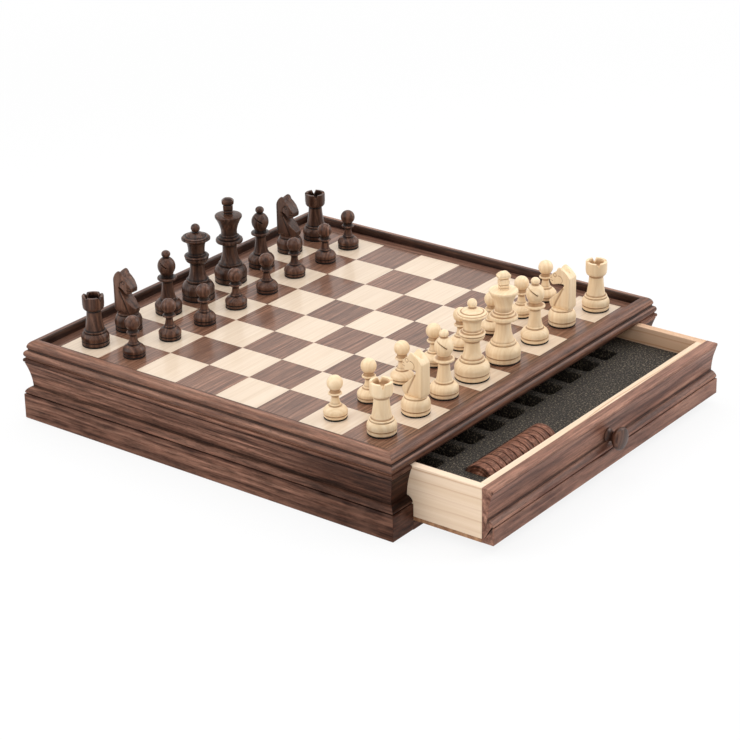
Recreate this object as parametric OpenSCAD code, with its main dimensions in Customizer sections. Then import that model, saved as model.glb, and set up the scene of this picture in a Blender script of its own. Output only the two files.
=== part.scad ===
// Chess box: a moulded walnut case with an inlaid playing board, a foam-lined drawer
// in each of two opposite sides, draughts in the drawers and a turned chess set on top.
// Origin: centre of the underside. X runs along the files (a to h), Y along the ranks,
// and the front drawer opens towards -Y, on the white side.

/* [Board] */
// Side of one playing square
square = 41.75; // [34:0.25:52]
// Width of the veneer border round the squares, up to the frame
border_w = 11; // [6:0.5:20]
// Thickness of the board under the veneers
board_t = 6; // [4:0.5:9]
// Thickness of the veneers
veneer_t = 0.8; // [0.5:0.1:1.2]
// Glue seam between neighbouring veneers
seam = 0.1; // [0.05:0.01:0.2]
// Depth of the groove in the top frame that holds the board
groove_d = 3; // [2:0.5:5]
// Height of the frame's lip under the board
lip_h = 1.5; // [1:0.1:3]

/* [Case] */
// Thickness of the case rails at the foot
rail_t = 12.5; // [10:0.5:18]
// Height of the rails, from the ground to the top frame
rail_h = 54.2; // [45:0.2:66]
// Height of the plain block at the foot of the rails
block_h = 22.3; // [18:0.1:27]
// Height of the rounded ledge between the block and the cove
ledge_h = 5.2; // [4:0.1:7]
// Depth of the cove at its neck
cove_d = 5.9; // [4:0.1:7]
// Height of the bead along the top of the rails
rail_bead_h = 3.2; // [2:0.1:4]
// Height of the saw-cut line over the block
kerf_h = 0.9; // [0.5:0.1:1.5]
// Depth of the saw-cut line
kerf_d = 2.2; // [1:0.1:4]
// Width of the corner stiles beside the drawers
stile_w = 26; // [20:0.5:36]
// Height of the rail under each drawer
bottom_rail_h = 8; // [6.5:0.5:10]
// Thickness of the base panel
base_t = 5; // [3:0.5:6]
// Thickness of the divider between the two drawers
divider_t = 8; // [5:0.5:12]
// Width of the runner ledge under each drawer side
runner_w = 8; // [5:0.5:12]
// Height of the drawer guides above the base panel
guide_h = 24; // [10:0.5:30]
// Glue line in the mitres and over the felts
glue = 0.02; // [0.01:0.01:0.05]

/* [Top frame] */
// Setback of the top frame from the block face of the rails
frame_set = 3; // [2.5:0.1:4]
// Height of the bead band of the top frame
bead_h = 7.2; // [6:0.1:8.6]
// Bulge of the bead
bead_out = 2.3; // [1.5:0.1:3]
// Height of the groove over the bead
frame_groove_h = 1.1; // [0.6:0.1:1.6]
// Radius of the nosing over the groove
nosing_r = 5; // [3:0.1:6]
// Rise of the top frame above the playing surface
frame_rise = 7; // [4:0.1:9]

/* [Drawers] */
// Distance that the front drawer stands open
drawer_pull = 73; // [0:1:110]
// Running gap round a drawer
drawer_gap = 0.3; // [0.2:0.05:0.8]
// Gap between the back of a closed drawer and the divider
drawer_stop = 1.5; // [0.5:0.5:4]
// Thickness of the moulded drawer face at the foot
face_t = 11; // [9:0.5:14]
// Thickness of the board behind the drawer face
inner_front_t = 6; // [4:0.5:9]
// Thickness of the drawer sides
side_t = 7; // [5:0.5:10]
// Thickness of the drawer back
back_t = 6; // [4:0.5:9]
// Thickness of the drawer bottom
bottom_t = 2.8; // [2:0.2:5]

/* [Knobs] */
// Diameter of the knob head
knob_d = 19; // [14:0.5:24]
// Projection of the knob from the drawer face
knob_l = 15; // [12:0.5:20]
// Height of the knob axis above the ground
knob_z = 33.5; // [31:0.5:40]
// Diameter of the knob's round tenon
tenon_d = 6; // [4:0.5:8]
// Radial clearance of the tenon in its hole
tenon_gap = 0.05; // [0.02:0.01:0.1]

/* [Foam trays] */
// Distance from the top of the drawer down to the foam
foam_drop = 14.5; // [8:0.5:18]
// Clearance between the foam and the drawer box
foam_gap = 0.3; // [0.2:0.1:1]
// Thickness of the foam left under the cut-outs
foam_floor = 4; // [3:0.5:8]
// Width of one piece pocket
pocket_w = 19; // [15:0.5:23]
// Corner radius of a pocket
pocket_r = 3; // [1:0.5:6]
// Number of piece pockets
pocket_n = 10; // [6:1:10]
// Foam wall between the left drawer side and the first pocket
pocket_left = 17.5; // [8:0.5:30]
// Foam wall between the last pocket and the right drawer side
pocket_right = 28.5; // [8:0.5:40]
// Distance from the inner front to the pockets
pocket_y = 58; // [50:0.5:66]
// Foam wall behind the pockets
pocket_back = 8; // [5:0.5:20]
// Distance from the left drawer side to the draughts trough
trough_x = 33.3; // [15:0.1:50]
// Foam wall between the inner front and the trough
trough_y = 11; // [5:0.5:16]

/* [Draughts] */
// Diameter of a draught
draught_d = 28; // [24:0.5:34]
// Thickness of a draught
draught_t = 7.4; // [6:0.1:9]
// Number of draughts in a drawer
draught_n = 12; // [8:1:15]
// Gap between neighbouring draughts, and round them in the trough
draught_gap = 0.1; // [0.05:0.01:0.3]
// Edge rounding of a draught
draught_r = 1.2; // [0.5:0.1:2]
// Depth of the ring turned in each face of a draught
draught_ring = 0.5; // [0.2:0.1:1]
// Height that the draughts stand above the foam
draught_show = 7.1; // [3:0.1:12]

/* [Chess pieces] */
// Height of a king
king_h = 77; // [65:0.5:93]
// Base diameter of a king
king_d = 28.6; // [24:0.2:34]
// Height of a queen
queen_h = 67.8; // [57:0.2:81]
// Base diameter of a queen
queen_d = 28.6; // [24:0.2:34]
// Height of a bishop
bishop_h = 56; // [47:0.5:68]
// Base diameter of a bishop
bishop_d = 23.4; // [20:0.2:28]
// Height of a knight
knight_h = 52; // [44:0.5:63]
// Base diameter of a knight
knight_d = 23.2; // [20:0.2:28]
// Thickness of a knight's carved head
knight_t = 10.8; // [8:0.2:12]
// Height of a rook
rook_h = 43.4; // [37:0.2:52]
// Base diameter of a rook
rook_d = 23.4; // [20:0.2:28]
// Height of a pawn
pawn_h = 35.4; // [30:0.2:43]
// Base diameter of a pawn
pawn_d = 19; // [16:0.2:23]
// Thickness of the felt under a piece
felt_t = 1.1; // [0.5:0.1:1.5]
// Setback of the felt from the edge of a foot
felt_set = 0.3; // [0.1:0.1:1]

/* [Hidden] */
RANKS = ["rook", "knight", "bishop", "queen", "king", "bishop", "knight", "rook"];
FILES = ["a", "b", "c", "d", "e", "f", "g", "h"];
DRAWER_PARTS = ["face", "inner_front", "sides", "back", "bottom", "knob", "foam", "draughts"];

// one entry per chess piece: [colour, kind, file 0..7, rank 0..7]
PIECES = concat(
    [for (f = [0:7]) ["white", RANKS[f], f, 0]],
    [for (f = [0:7]) ["white", "pawn", f, 1]],
    [for (f = [0:7]) ["black", RANKS[f], f, 7]],
    [for (f = [0:7]) ["black", "pawn", f, 6]]
);
function square_name(p) = str(FILES[p[2]], p[3] + 1);
function piece_name(p) = str(p[0], "_", p[1], "_", square_name(p));

// how a piece was set down by hand: [square, x and y off its middle, turn]
SET_DOWN = [
    ["a1", -0.3, -2.1, 0], ["b1", 2, -1.9, -4], ["c1", -1.6, -1.5, 130], ["d1", -2.8, 0, 0],
    ["e1", -2.2, -1, -35], ["f1", 3, -0.5, 125], ["g1", 3, 0, 0], ["h1", 5, -5.5, 0],
    ["a2", 1.5, 2, 0], ["c2", 0.5, -1, 0], ["d2", 1, -1.5, 0], ["e2", -1.5, -0.5, 0],
    ["f2", -1.5, -2.5, 0], ["g2", -0.5, -3.5, 0], ["h2", -1, -0.5, 0],
    ["b7", 2, -0.5, 0], ["c7", 1.5, -3, 0], ["d7", 1.5, -2.5, 0], ["e7", 1.5, -2.5, 0],
    ["f7", 2.5, 1, 0], ["g7", 3, 0, 0], ["h7", -0.5, 3.5, 0],
    ["a8", -0.5, 0.5, 40], ["b8", -2.2, -0.1, 180], ["c8", 2, -4, 115], ["d8", -1, -4, 0],
    ["e8", 3, -2, -50], ["f8", 3.5, -2, 130], ["g8", 4.5, 0, 180], ["h8", 1.5, 0.5, 0]
];
function set_down(p) =
    let (found = [for (s = SET_DOWN) if (s[0] == square_name(p)) s])
    len(found) > 0 ? found[0] : [square_name(p), 0, 0, 0];

CASE_NODES = ["base_panel", "left_side_rail", "right_side_rail", "bottom_rails", "corner_stiles",
    "top_frame", "drawer_guides", "centre_divider", "playing_board", "border_veneer",
    "light_squares", "dark_squares"];

walnut = "#5f3d2f";
walnut_dark = "#4a2c21";
maple = "#efe0c4";
boxwood = "#e8cfa0";
pine = "#e6cda6";
plywood = "#b58f66";
foam_grey = "#3a3936";
felt_black = "#1c1a19";

grid_half = 4 * square;
inner_half = grid_half + border_w;
case_half = inner_half + rail_t;
board_low = rail_h + lip_h;
board_top = board_low + board_t;
board_z = board_top + veneer_t;
frame_top = board_z + frame_rise;
opening_half = case_half - stile_w;
drawer_half = opening_half - drawer_gap;
drawer_z = bottom_rail_h + drawer_gap;
drawer_top = rail_h - 1.6 * drawer_gap;
drawer_depth = case_half - divider_t / 2 - drawer_stop;
box_inner_half = drawer_half - side_t;
box_inner_z = drawer_z + bottom_t;
box_front = face_t + inner_front_t;
foam_top = drawer_top - foam_drop;
foam_half = box_inner_half - foam_gap;
foam_front = box_front + foam_gap;
foam_back = drawer_depth - back_t - foam_gap;
cut_z = box_inner_z + foam_floor;
pocket_row = 2 * box_inner_half - pocket_left - pocket_right;
pocket_pitch = (pocket_row - pocket_w) / (pocket_n - 1);
pocket_l = foam_back - pocket_back - box_front - pocket_y;
trough_l = draught_n * (draught_t + draught_gap) + draught_gap;
trough_w = draught_d + 2 * draught_gap;
trough_z = max(cut_z, foam_top + draught_show - draught_d - draught_gap);

// the moulding: small rounding of its edges, bulge of the ledge and hollow of the cove
edge_r = 0.8;
ledge_bulge = 1.1;
cove_hollow = 0.9;
cove_foot = [-cove_d, block_h + kerf_h + ledge_h];
cove_head = [-1.7, rail_h - rail_bead_h - 0.5];
// the bead over the cove: its setback, its bulge, and the quirk and the step beside it
rail_bead_set = 1.2;
rail_bead_out = 0.35;
quirk = 0.2;
quirk_set = 2.3;
rail_top_set = 2;
// the top frame: how its sole stands out, and how far its groove is cut in
sole_out = 0.4;
frame_groove_d = 1.2;
nosing_quirk = 0.6;
// rise of a bow that rounds a quarter turn, as a share of its radius
quarter = 0.29;

// ---- curves ------------------------------------------------------------------------

// points after a, up to and with b, on the arc whose middle stands off the chord by
// bulge, to the right of the way from a to b
function bow(a, b, bulge, steps = 8) =
    let (chord = b - a,
         len = norm(chord),
         along = chord / len,
         out = [along[1], -along[0]],
         r = (len * len / 4 + bulge * bulge) / (2 * bulge),
         half = asin(len / (2 * r)),
         centre = (a + b) / 2 + out * (bulge - r))
    [for (i = [1:steps]) let (t = half * (2 * i / steps - 1))
        centre + r * (cos(t) * out + sin(t) * along)];

// a turned ball of radius r whose top is at height top, from where it is from_r wide;
// a round share under 1 flattens it
function ball(r, top, from_r, round = 1, steps = 14) =
    let (start = -acos(from_r / r))
    [for (i = [0:steps]) let (t = start + (90 - start) * i / steps)
        [r * cos(t), top + round * r * (sin(t) - 1)]];

// ---- mouldings ---------------------------------------------------------------------
// Section points are [u, z]: u is the distance out from the block face, so it is 0 or less.

function rail_section(back, low, high) =
    let (kerf_top = block_h + kerf_h,
         bead_low = rail_h - rail_bead_h)
    concat(
        [[-back, low], [-edge_r, low], [0, low + edge_r]],
        bow([0, block_h - edge_r], [-edge_r, block_h], quarter * edge_r, 3),
        [[-kerf_d, block_h], [-kerf_d, kerf_top], [-edge_r, kerf_top]],
        bow([-edge_r / 2, kerf_top + edge_r / 2], cove_foot, ledge_bulge),
        bow(cove_foot, cove_head, -cove_hollow),
        [[-quirk_set, bead_low - quirk], [-quirk_set, bead_low]],
        bow([-rail_bead_set, bead_low + quirk], [-rail_bead_set, high - quirk], rail_bead_out, 6),
        [[-rail_top_set, high], [-back, high]]
    );

function frame_section(back) =
    let (bead_top = rail_h + bead_h,
         groove_top = bead_top + frame_groove_h,
         neck = -frame_set - frame_groove_d,
         nose = neck + edge_r)
    concat(
        [[-back, rail_h], [sole_out - frame_set, rail_h], [sole_out - frame_set, rail_h + kerf_h]],
        bow([-frame_set, rail_h + kerf_h], [neck, bead_top], bead_out, 12),
        [[neck, groove_top]],
        bow([nose, groove_top + nosing_quirk], [nose - nosing_r, frame_top], quarter * nosing_r),
        [[-back + edge_r, frame_top], [-back, frame_top - edge_r],
         [-back, board_top], [-back + groove_d, board_top],
         [-back + groove_d, board_low], [-back, board_low]]
    );

// a straight length of moulding whose block face lies on y = -case_half
module moulding(section, from_x, to_x) {
    translate([from_x, -case_half, 0])
        rotate([90, 0, 90])
            linear_extrude(to_x - from_x)
                polygon([for (p = section) [-p[0], p[1]]]);
}

// the same, cut off a glue line short of the 45-degree mitre planes of the case corners
module mitred(section, height) {
    intersection() {
        moulding(section, -case_half, case_half);
        linear_extrude(height)
            polygon([[glue - case_half, -case_half], [case_half - glue, -case_half], [0, -glue]]);
    }
}

// ---- case --------------------------------------------------------------------------

module base_panel() {
    color(plywood)
        translate([-inner_half, -inner_half, 0])
            cube([2 * inner_half, 2 * inner_half, base_t]);
}

module side_rail() {
    color(walnut)
        rotate(-90)
            mitred(rail_section(rail_t, 0, rail_h), rail_h);
}

module left_side_rail() {
    side_rail();
}

module right_side_rail() {
    rotate(180)
        side_rail();
}

module bottom_rails() {
    for (turn = [0, 180])
        color(walnut)
            rotate(turn)
                translate([-opening_half, -case_half, 0])
                    cube([2 * opening_half, rail_t, bottom_rail_h]);
}

module corner_stiles() {
    for (turn = [0, 180], flip = [0, 1])
        color(walnut)
            rotate(turn)
                mirror([flip, 0, 0])
                    intersection() {
                        mitred(rail_section(rail_t, 0, rail_h), rail_h);
                        translate([-case_half, -case_half, 0])
                            cube([stile_w, rail_t, rail_h]);
                    }
}

module top_frame() {
    for (turn = [0:90:270])
        color(walnut)
            rotate(turn)
                mitred(frame_section(rail_t), frame_top);
}

module centre_divider() {
    color(pine)
        translate([-inner_half, -divider_t / 2, base_t])
            cube([2 * inner_half, divider_t, board_low - base_t]);
}

// strips beside the drawers, each with a ledge that its drawer side runs on
module drawer_guides() {
    strip = inner_half - opening_half;
    length = inner_half - divider_t / 2;
    for (turn = [0, 180], flip = [0, 1])
        color(pine)
            rotate(turn)
                mirror([flip, 0, 0])
                    translate([-inner_half, -inner_half, base_t]) {
                        cube([strip, length, guide_h]);
                        cube([strip + runner_w, length, bottom_rail_h - base_t]);
                    }
}

// ---- board -------------------------------------------------------------------------

module playing_board() {
    half = inner_half + groove_d;
    color(plywood)
        translate([-half, -half, board_low])
            cube([2 * half, 2 * half, board_t]);
}

module squares(parity) {
    for (f = [0:7], r = [0:7])
        if ((f + r) % 2 == parity)
            translate([(f - 4) * square + seam / 2, (r - 4) * square + seam / 2, board_top])
                cube([square - seam, square - seam, veneer_t]);
}

module light_squares() {
    color(maple)
        squares(1);
}

module dark_squares() {
    color(walnut)
        squares(0);
}

module border_veneer() {
    outer = inner_half - seam / 2;
    inner = grid_half + seam / 2;
    joint = seam / 2;
    for (turn = [0:90:270])
        color(walnut)
            rotate(turn)
                translate([0, 0, board_top])
                    linear_extrude(veneer_t)
                        polygon([[-outer + joint, -outer], [outer - joint, -outer],
                                 [inner - joint, -inner], [-inner + joint, -inner]]);
}

// ---- drawers -----------------------------------------------------------------------
// Drawer parts are drawn closed, opening towards -Y, with y measured from the block face.

module in_drawer(side) {
    rotate(side == "front" ? 0 : 180)
        translate([0, side == "front" ? -drawer_pull : 0, 0])
            children();
}

module at_face() {
    translate([0, -case_half, 0])
        children();
}

// depth of the moulding at a height on the cove
function cove_u(z) =
    lookup(z, [for (p = concat([cove_foot], bow(cove_foot, cove_head, -cove_hollow))) [p[1], p[0]]]);

knob_seat = -cove_u(knob_z + tenon_d);

module drawer_face() {
    color(walnut)
        difference() {
            moulding(rail_section(face_t, drawer_z, drawer_top), -drawer_half, drawer_half);
            at_face()
                tenon_hole();
        }
}

module drawer_inner_front() {
    color(pine)
        at_face()
            difference() {
                translate([-box_inner_half, face_t, box_inner_z])
                    cube([2 * box_inner_half, inner_front_t, drawer_top - box_inner_z]);
                tenon_hole();
            }
}

module drawer_sides() {
    for (flip = [0, 1])
        color(pine)
            mirror([flip, 0, 0])
                at_face()
                    translate([-drawer_half, face_t, box_inner_z])
                        cube([side_t, drawer_depth - face_t, drawer_top - box_inner_z]);
}

module drawer_back() {
    color(pine)
        at_face()
            translate([-box_inner_half, drawer_depth - back_t, box_inner_z])
                cube([2 * box_inner_half, back_t, drawer_top - box_inner_z]);
}

module drawer_bottom() {
    color(plywood)
        at_face()
            translate([-drawer_half, face_t, drawer_z])
                cube([2 * drawer_half, drawer_depth - face_t, bottom_t]);
}

tenon_l = face_t - cove_d + 0.6 * inner_front_t;

module tenon_hole() {
    translate([0, 0, knob_z])
        rotate([-90, 0, 0])
            cylinder(d = tenon_d + 2 * tenon_gap, h = knob_seat + tenon_l + 0.5, $fn = 64);
}

// turned knob: tenon, flared foot, waist, head with a slightly domed end
module drawer_knob() {
    r = knob_d / 2;
    foot_r = 0.6 * r;
    neck_r = 0.42 * r;
    head_l = 0.42 * knob_l;
    profile = concat(
        [[0, -tenon_l], [tenon_d / 2 - 0.3, -tenon_l], [tenon_d / 2, -tenon_l + 0.3],
         [tenon_d / 2, 0], [foot_r, 0], [foot_r, 0.8]],
        bow([foot_r, 0.8], [neck_r, 0.4 * knob_l], -0.8),
        bow([neck_r, 0.4 * knob_l], [r, knob_l - 0.6 * head_l], 0.9),
        bow([r, knob_l - 0.6 * head_l], [r - 1.2, knob_l - 1], 0.3, 4),
        bow([r - 1.2, knob_l - 1], [0, knob_l], 0.25)
    );
    color(walnut_dark)
        at_face()
            translate([0, knob_seat, knob_z])
                rotate([90, 0, 0])
                    rotate_extrude($fn = 64)
                        polygon(profile);
}

// one foam block with a row of piece pockets and a trough for the draughts
module drawer_foam() {
    color(foam_grey)
        at_face()
            difference() {
                translate([-foam_half, foam_front, box_inner_z])
                    cube([2 * foam_half, foam_back - foam_front, foam_top - box_inner_z]);
                for (i = [0:pocket_n - 1])
                    translate([-box_inner_half + pocket_left + i * pocket_pitch, box_front + pocket_y, cut_z])
                        linear_extrude(foam_top)
                            rounded(pocket_w, pocket_l, pocket_r);
                translate([-box_inner_half + trough_x, box_front + trough_y, trough_z])
                    cube([trough_l, trough_w, foam_top]);
            }
}

// a rectangle with round corners, its lowest corner at the origin
module rounded(w, l, r) {
    translate([r, 0])
        square([w - 2 * r, l]);
    translate([0, r])
        square([w, l - 2 * r]);
    for (x = [r, w - r], y = [r, l - r])
        translate([x, y])
            circle(r = r, $fn = 32);
}

module drawer_draughts(wood) {
    for (i = [0:draught_n - 1])
        color(wood)
            at_face()
                translate([-box_inner_half + trough_x + draught_gap + i * (draught_t + draught_gap),
                           box_front + trough_y + trough_w / 2,
                           trough_z + draught_gap + draught_d / 2])
                    rotate([0, 90, 0])
                        draught();
}

// a disc with rounded edges and a shallow turned ring in each face
module draught() {
    r = draught_d / 2;
    ring = [[0.78, 0], [0.74, draught_ring], [0.6, draught_ring], [0.56, 0]];
    upper = concat(
        bow([r, draught_t - draught_r], [r - draught_r, draught_t], quarter * draught_r, 4),
        [for (p = ring) [p[0] * r, draught_t - p[1]]]
    );
    lower = [for (i = [len(upper) - 1:-1:0]) [upper[i][0], draught_t - upper[i][1]]];
    rotate_extrude($fn = 64)
        polygon(concat([[0, 0]], lower, [[r, draught_r], [r, draught_t - draught_r]],
                       upper, [[0, draught_t]]));
}

module drawer_part(side, part) {
    in_drawer(side) {
        if (part == "face") drawer_face();
        if (part == "inner_front") drawer_inner_front();
        if (part == "sides") drawer_sides();
        if (part == "back") drawer_back();
        if (part == "bottom") drawer_bottom();
        if (part == "knob") drawer_knob();
        if (part == "foam") drawer_foam();
        if (part == "draughts") drawer_draughts(side == "front" ? walnut : maple);
    }
}

// ---- chess pieces ------------------------------------------------------------------
// Profile points are [radius, height], from the axis at the foot round to the axis at the top.

// depth of the finest turned lines
groove_r = 0.2;

// the foot that every piece shares, up to its neck: a band, a groove, a barrel that slopes
// in to a ring whose underside is at height z
function foot(r, ring, neck, z) =
    let (band = 0.36 * r,
         ring_top = foot_top(r, z))
    concat(
        [[0, felt_t + glue], [r - edge_r, felt_t + glue], [r - groove_r, felt_t + edge_r],
         [r - groove_r, band], [r - 3 * groove_r, band + groove_r], [r - groove_r, band + 2 * groove_r],
         [r, band + 4 * groove_r], [r, 0.6 * z]],
        bow([r, 0.6 * z], [1.02 * ring, z], min(0.22 * (r - ring), 0.075 * r)),
        [[0.96 * ring, z + groove_r], [ring, z + 3 * groove_r], [ring, ring_top - 2 * groove_r],
         [ring - 2 * groove_r, ring_top], [neck, ring_top]]
    );
function foot_top(r, z) = z + 0.16 * r;

// a thin turned disc round the stem, from z up, on a neck of radius neck
function collar(neck, r, z, h) = concat(
    bow([neck, z], [r - 2 * groove_r, z + 0.4 * h], -0.1 * h, 4),
    [[r, z + 0.55 * h], [r, z + 0.78 * h], [r - 2 * groove_r, z + h]]
);

module turned(profile) {
    rotate_extrude($fn = 72)
        polygon(profile);
}

module felt(d) {
    color(felt_black)
        cylinder(d = d - 2 * felt_set, h = felt_t, $fn = 72);
}

module pawn() {
    h = pawn_h;
    r = pawn_d / 2;
    z = 1.12 * r;
    stem = 0.083 * h;
    cup = 0.115 * h;
    turned(concat(
        foot(r, 0.5 * r, 0.43 * r, z),
        bow([0.43 * r, foot_top(r, z)], [stem, 0.53 * h], -0.008 * h),
        collar(stem, 0.156 * h, 0.535 * h, 0.07 * h),
        [[1.04 * cup, 0.61 * h]],
        bow([1.04 * cup, 0.61 * h], [cup, 0.68 * h], -0.006 * h, 4),
        ball(0.178 * h, h, cup)
    ));
}

module rook() {
    h = rook_h;
    r = rook_d / 2;
    z = 0.97 * r;
    stem = 0.137 * h;
    rim = 0.209 * h;
    well = 0.155 * h;
    floor_z = 0.88 * h;
    difference() {
        turned(concat(
            foot(r, 0.81 * r, 0.7 * r, z),
            bow([0.7 * r, foot_top(r, z)], [stem, 0.705 * h], -0.008 * h),
            [[0.97 * stem, 0.71 * h], [1.08 * stem, 0.72 * h]],
            bow([1.08 * stem, 0.72 * h], [0.97 * rim, 0.8 * h], 0.02 * h, 5),
            [[rim, 0.83 * h], [rim, h - groove_r], [rim - groove_r, h], [well, h],
             [well - 2 * groove_r, floor_z], [0, floor_z]]
        ));
        for (turn = [45, 135])
            rotate(turn)
                translate([0, 0, 0.91 * h])
                    rotate([90, 0, 0])
                        linear_extrude(3 * rim, center = true)
                            polygon([[0, 0], [0.05 * h, 0.11 * h], [-0.05 * h, 0.11 * h]]);
    }
}

// the mitre slit runs in from the side and down to the axis
module bishop() {
    h = bishop_h;
    r = bishop_d / 2;
    z = 1.03 * r;
    stem = 0.082 * h;
    neck = 0.092 * h;
    slit_w = 0.9;
    slit_tilt = 32;
    difference() {
        turned(concat(
            foot(r, 0.6 * r, 0.55 * r, z),
            bow([0.55 * r, foot_top(r, z)], [stem, 0.51 * h], -0.008 * h),
            collar(stem, 0.15 * h, 0.515 * h, 0.062 * h),
            [[neck, 0.585 * h], [neck, 0.625 * h], [1.1 * neck, 0.635 * h], [1.14 * neck, 0.652 * h]],
            bow([1.14 * neck, 0.652 * h], [0.046 * h, 0.893 * h], 0.058 * h, 14),
            ball(0.069 * h, h, 0.045 * h, 0.84, 10)
        ));
        translate([-0.035 * h, -0.2 * h, 0.745 * h])
            rotate([0, -slit_tilt, 0])
                cube([0.25 * h, 0.4 * h, slit_w]);
    }
}

module queen() {
    h = queen_h;
    r = queen_d / 2;
    z = 1.08 * r;
    stem = 0.092 * h;
    cup = 0.106 * h;
    brim = 0.184 * h;
    crown = 0.168 * h;
    turned(concat(
        foot(r, 0.7 * r, 0.6 * r, z),
        bow([0.6 * r, foot_top(r, z)], [stem, 0.48 * h], -0.013 * h),
        bow([stem, 0.49 * h], [0.145 * h, 0.528 * h], 0.012 * h, 4),
        [[0.15 * h, 0.536 * h], [0.15 * h, 0.549 * h], [0.14 * h, 0.556 * h], [0.156 * h, 0.565 * h],
         [0.158 * h, 0.576 * h], [0.15 * h, 0.586 * h], [1.12 * cup, 0.592 * h], [1.12 * cup, 0.606 * h],
         [cup, 0.613 * h]],
        bow([cup, 0.613 * h], [1.08 * cup, 0.73 * h], -0.004 * h, 5),
        bow([1.08 * cup, 0.73 * h], [brim, 0.798 * h], -0.014 * h, 5),
        [[brim, 0.816 * h], [crown, 0.82 * h], [crown, 0.834 * h], [0.15 * h, 0.842 * h],
         [0.13 * h, 0.838 * h], [0.125 * h, 0.848 * h]],
        bow([0.125 * h, 0.848 * h], [0.04 * h, 0.89 * h], 0.006 * h, 4),
        ball(0.0583 * h, h, 0.036 * h, 1, 10)
    ));
}

module king() {
    h = king_h;
    r = king_d / 2;
    z = 1.07 * r;
    stem = 0.083 * h;
    cup = 0.091 * h;
    crown = 0.154 * h;
    stand = 0.805 * h;
    turned(concat(
        foot(r, 0.72 * r, 0.65 * r, z),
        bow([0.65 * r, foot_top(r, z)], [stem, 0.44 * h], -0.014 * h),
        collar(stem, 0.154 * h, 0.45 * h, 0.066 * h),
        [[0.12 * h, 0.523 * h], [0.123 * h, 0.53 * h], [0.12 * h, 0.545 * h], [1.08 * cup, 0.55 * h],
         [1.08 * cup, 0.565 * h], [cup, 0.57 * h]],
        bow([cup, 0.615 * h], [0.97 * crown, 0.765 * h], -0.008 * h),
        [[crown, 0.773 * h], [crown, 0.79 * h], [0.97 * crown, 0.796 * h]],
        bow([0.97 * crown, 0.796 * h], [0.066 * h, stand], 0.003 * h, 4),
        [[0, stand]]
    ));
    translate([0, 0, stand])
        finial(0.14 * h, 0.09 * h, h - stand);
}

// a stepped cross: one notched outline cut through the block from the front and the side
module finial(w, t, h) {
    half = [[0.38, -0.04], [0.38, 0.04], [0.31, 0.07], [0.38, 0.11], [0.39, 0.2], [0.31, 0.24],
            [0.39, 0.29], [0.4, 0.53], [0.29, 0.58], [0.46, 0.66], [0.5, 0.8], [0.36, 0.92], [0.2, 1]];
    intersection() {
        rotate([90, 0, 0])
            linear_extrude(2 * w, center = true)
                polygon(both_sides(half, w, h));
        rotate([90, 0, 90])
            linear_extrude(2 * w, center = true)
                polygon(both_sides(half, t, h));
    }
}

// an outline given as [share of w, share of h] on the right, closed by its mirror image
function both_sides(right, w, h) = concat(
    [for (p = right) [p[0] * w, p[1] * h]],
    [for (i = [len(right) - 1:-1:0]) [-right[i][0] * w, right[i][1] * h]]
);

// turned foot with a carved horse's head: outlines from the side, the front and above
// cut across each other; a lean of 1 sets the ears and the muzzle further back
module knight(lean) {
    r = knight_d / 2;
    s = knight_h / horse_h;
    z = horse_z * s + edge_r - 0.16 * r;
    turned(concat(foot(r, 0.76 * r, 0.7 * r, z), [[0, foot_top(r, z)]]));
    intersection() {
        rotate([90, 0, 90])
            linear_extrude(2 * knight_t, center = true)
                polygon([for (p = horse_side(lean)) p * s]);
        rotate([90, 0, 0])
            linear_extrude(4 * knight_t, center = true)
                polygon(both_sides(horse_front(), knight_t, knight_h));
        linear_extrude(2 * knight_h)
            polygon(both_sides(horse_above(), knight_t, s));
    }
}

// height that the horse's outlines are drawn at, and height of its underside there
horse_h = 52;
horse_z = 14.6;

// side view, [forward, height]: chest, throat, jaw, muzzle, face, ears, nape and back
function horse_side(lean) =
    let (back = -10.2,
         throat = -4.8,
         ear = -0.2 - 3.6 * lean,
         muzzle = 10.4 - 2 * lean,
         low = 2.6 * lean)
    concat(
        [[-7.4, horse_z], [6.4, horse_z]],
        bow([6.4, horse_z], [10.8, 21], 1.5, 5),
        bow([10.8, 21], [throat + 0.6, 36], -0.7, 6),
        [[throat, 37], [throat + 0.6, 38.2]],
        bow([throat + 0.6, 38.2], [muzzle - 5, 36 - low], -0.5, 4),
        bow([muzzle - 5, 36 - low], [muzzle - 1.2, 36.8 - low], 0.5, 4),
        bow([muzzle - 1.2, 36.8 - low], [muzzle - 0.2, 41.4 - low], 0.8, 4),
        bow([muzzle - 0.2, 41.4 - low], [ear + 3.2, 48.4], 0.7, 5),
        [[ear + 2.5, 50.4]],
        bow([ear + 2.5, 50.4], [ear - 1.7, 51.2], 1.2, 6),
        bow([ear - 1.7, 51.2], [back, 43.8], 0.8, 5),
        [[back, 18.4]],
        bow([back, 18.4], [-7.4, horse_z], 0.7, 4)
    );

// front view with the gap between the ears, [share of the thickness, share of the height]
function horse_front() = [[0.4, 0.27], [0.5, 0.36], [0.5, 0.96], [0.46, 1.01], [0.4, 1.01], [0.03, 0.9]];

// view from above, [share of the thickness, forward]
function horse_above() = [[0.42, -12], [0.5, -9.6], [0.5, 5], [0.38, 9], [0.28, 12]];

module chess_piece(p) {
    kind = p[1];
    d = kind == "king" ? king_d : kind == "queen" ? queen_d : kind == "bishop" ? bishop_d
        : kind == "knight" ? knight_d : kind == "rook" ? rook_d : pawn_d;
    place = set_down(p);
    translate([(p[2] - 3.5) * square + place[1], (p[3] - 3.5) * square + place[2], board_z])
        rotate(place[3]) {
            felt(d);
            color(p[0] == "white" ? boxwood : walnut_dark) {
                if (kind == "king") king();
                if (kind == "queen") queen();
                if (kind == "bishop") bishop();
                if (kind == "knight") knight(p[0] == "white" ? 0 : 1);
                if (kind == "rook") rook();
                if (kind == "pawn") pawn();
            }
        }
}

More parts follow.
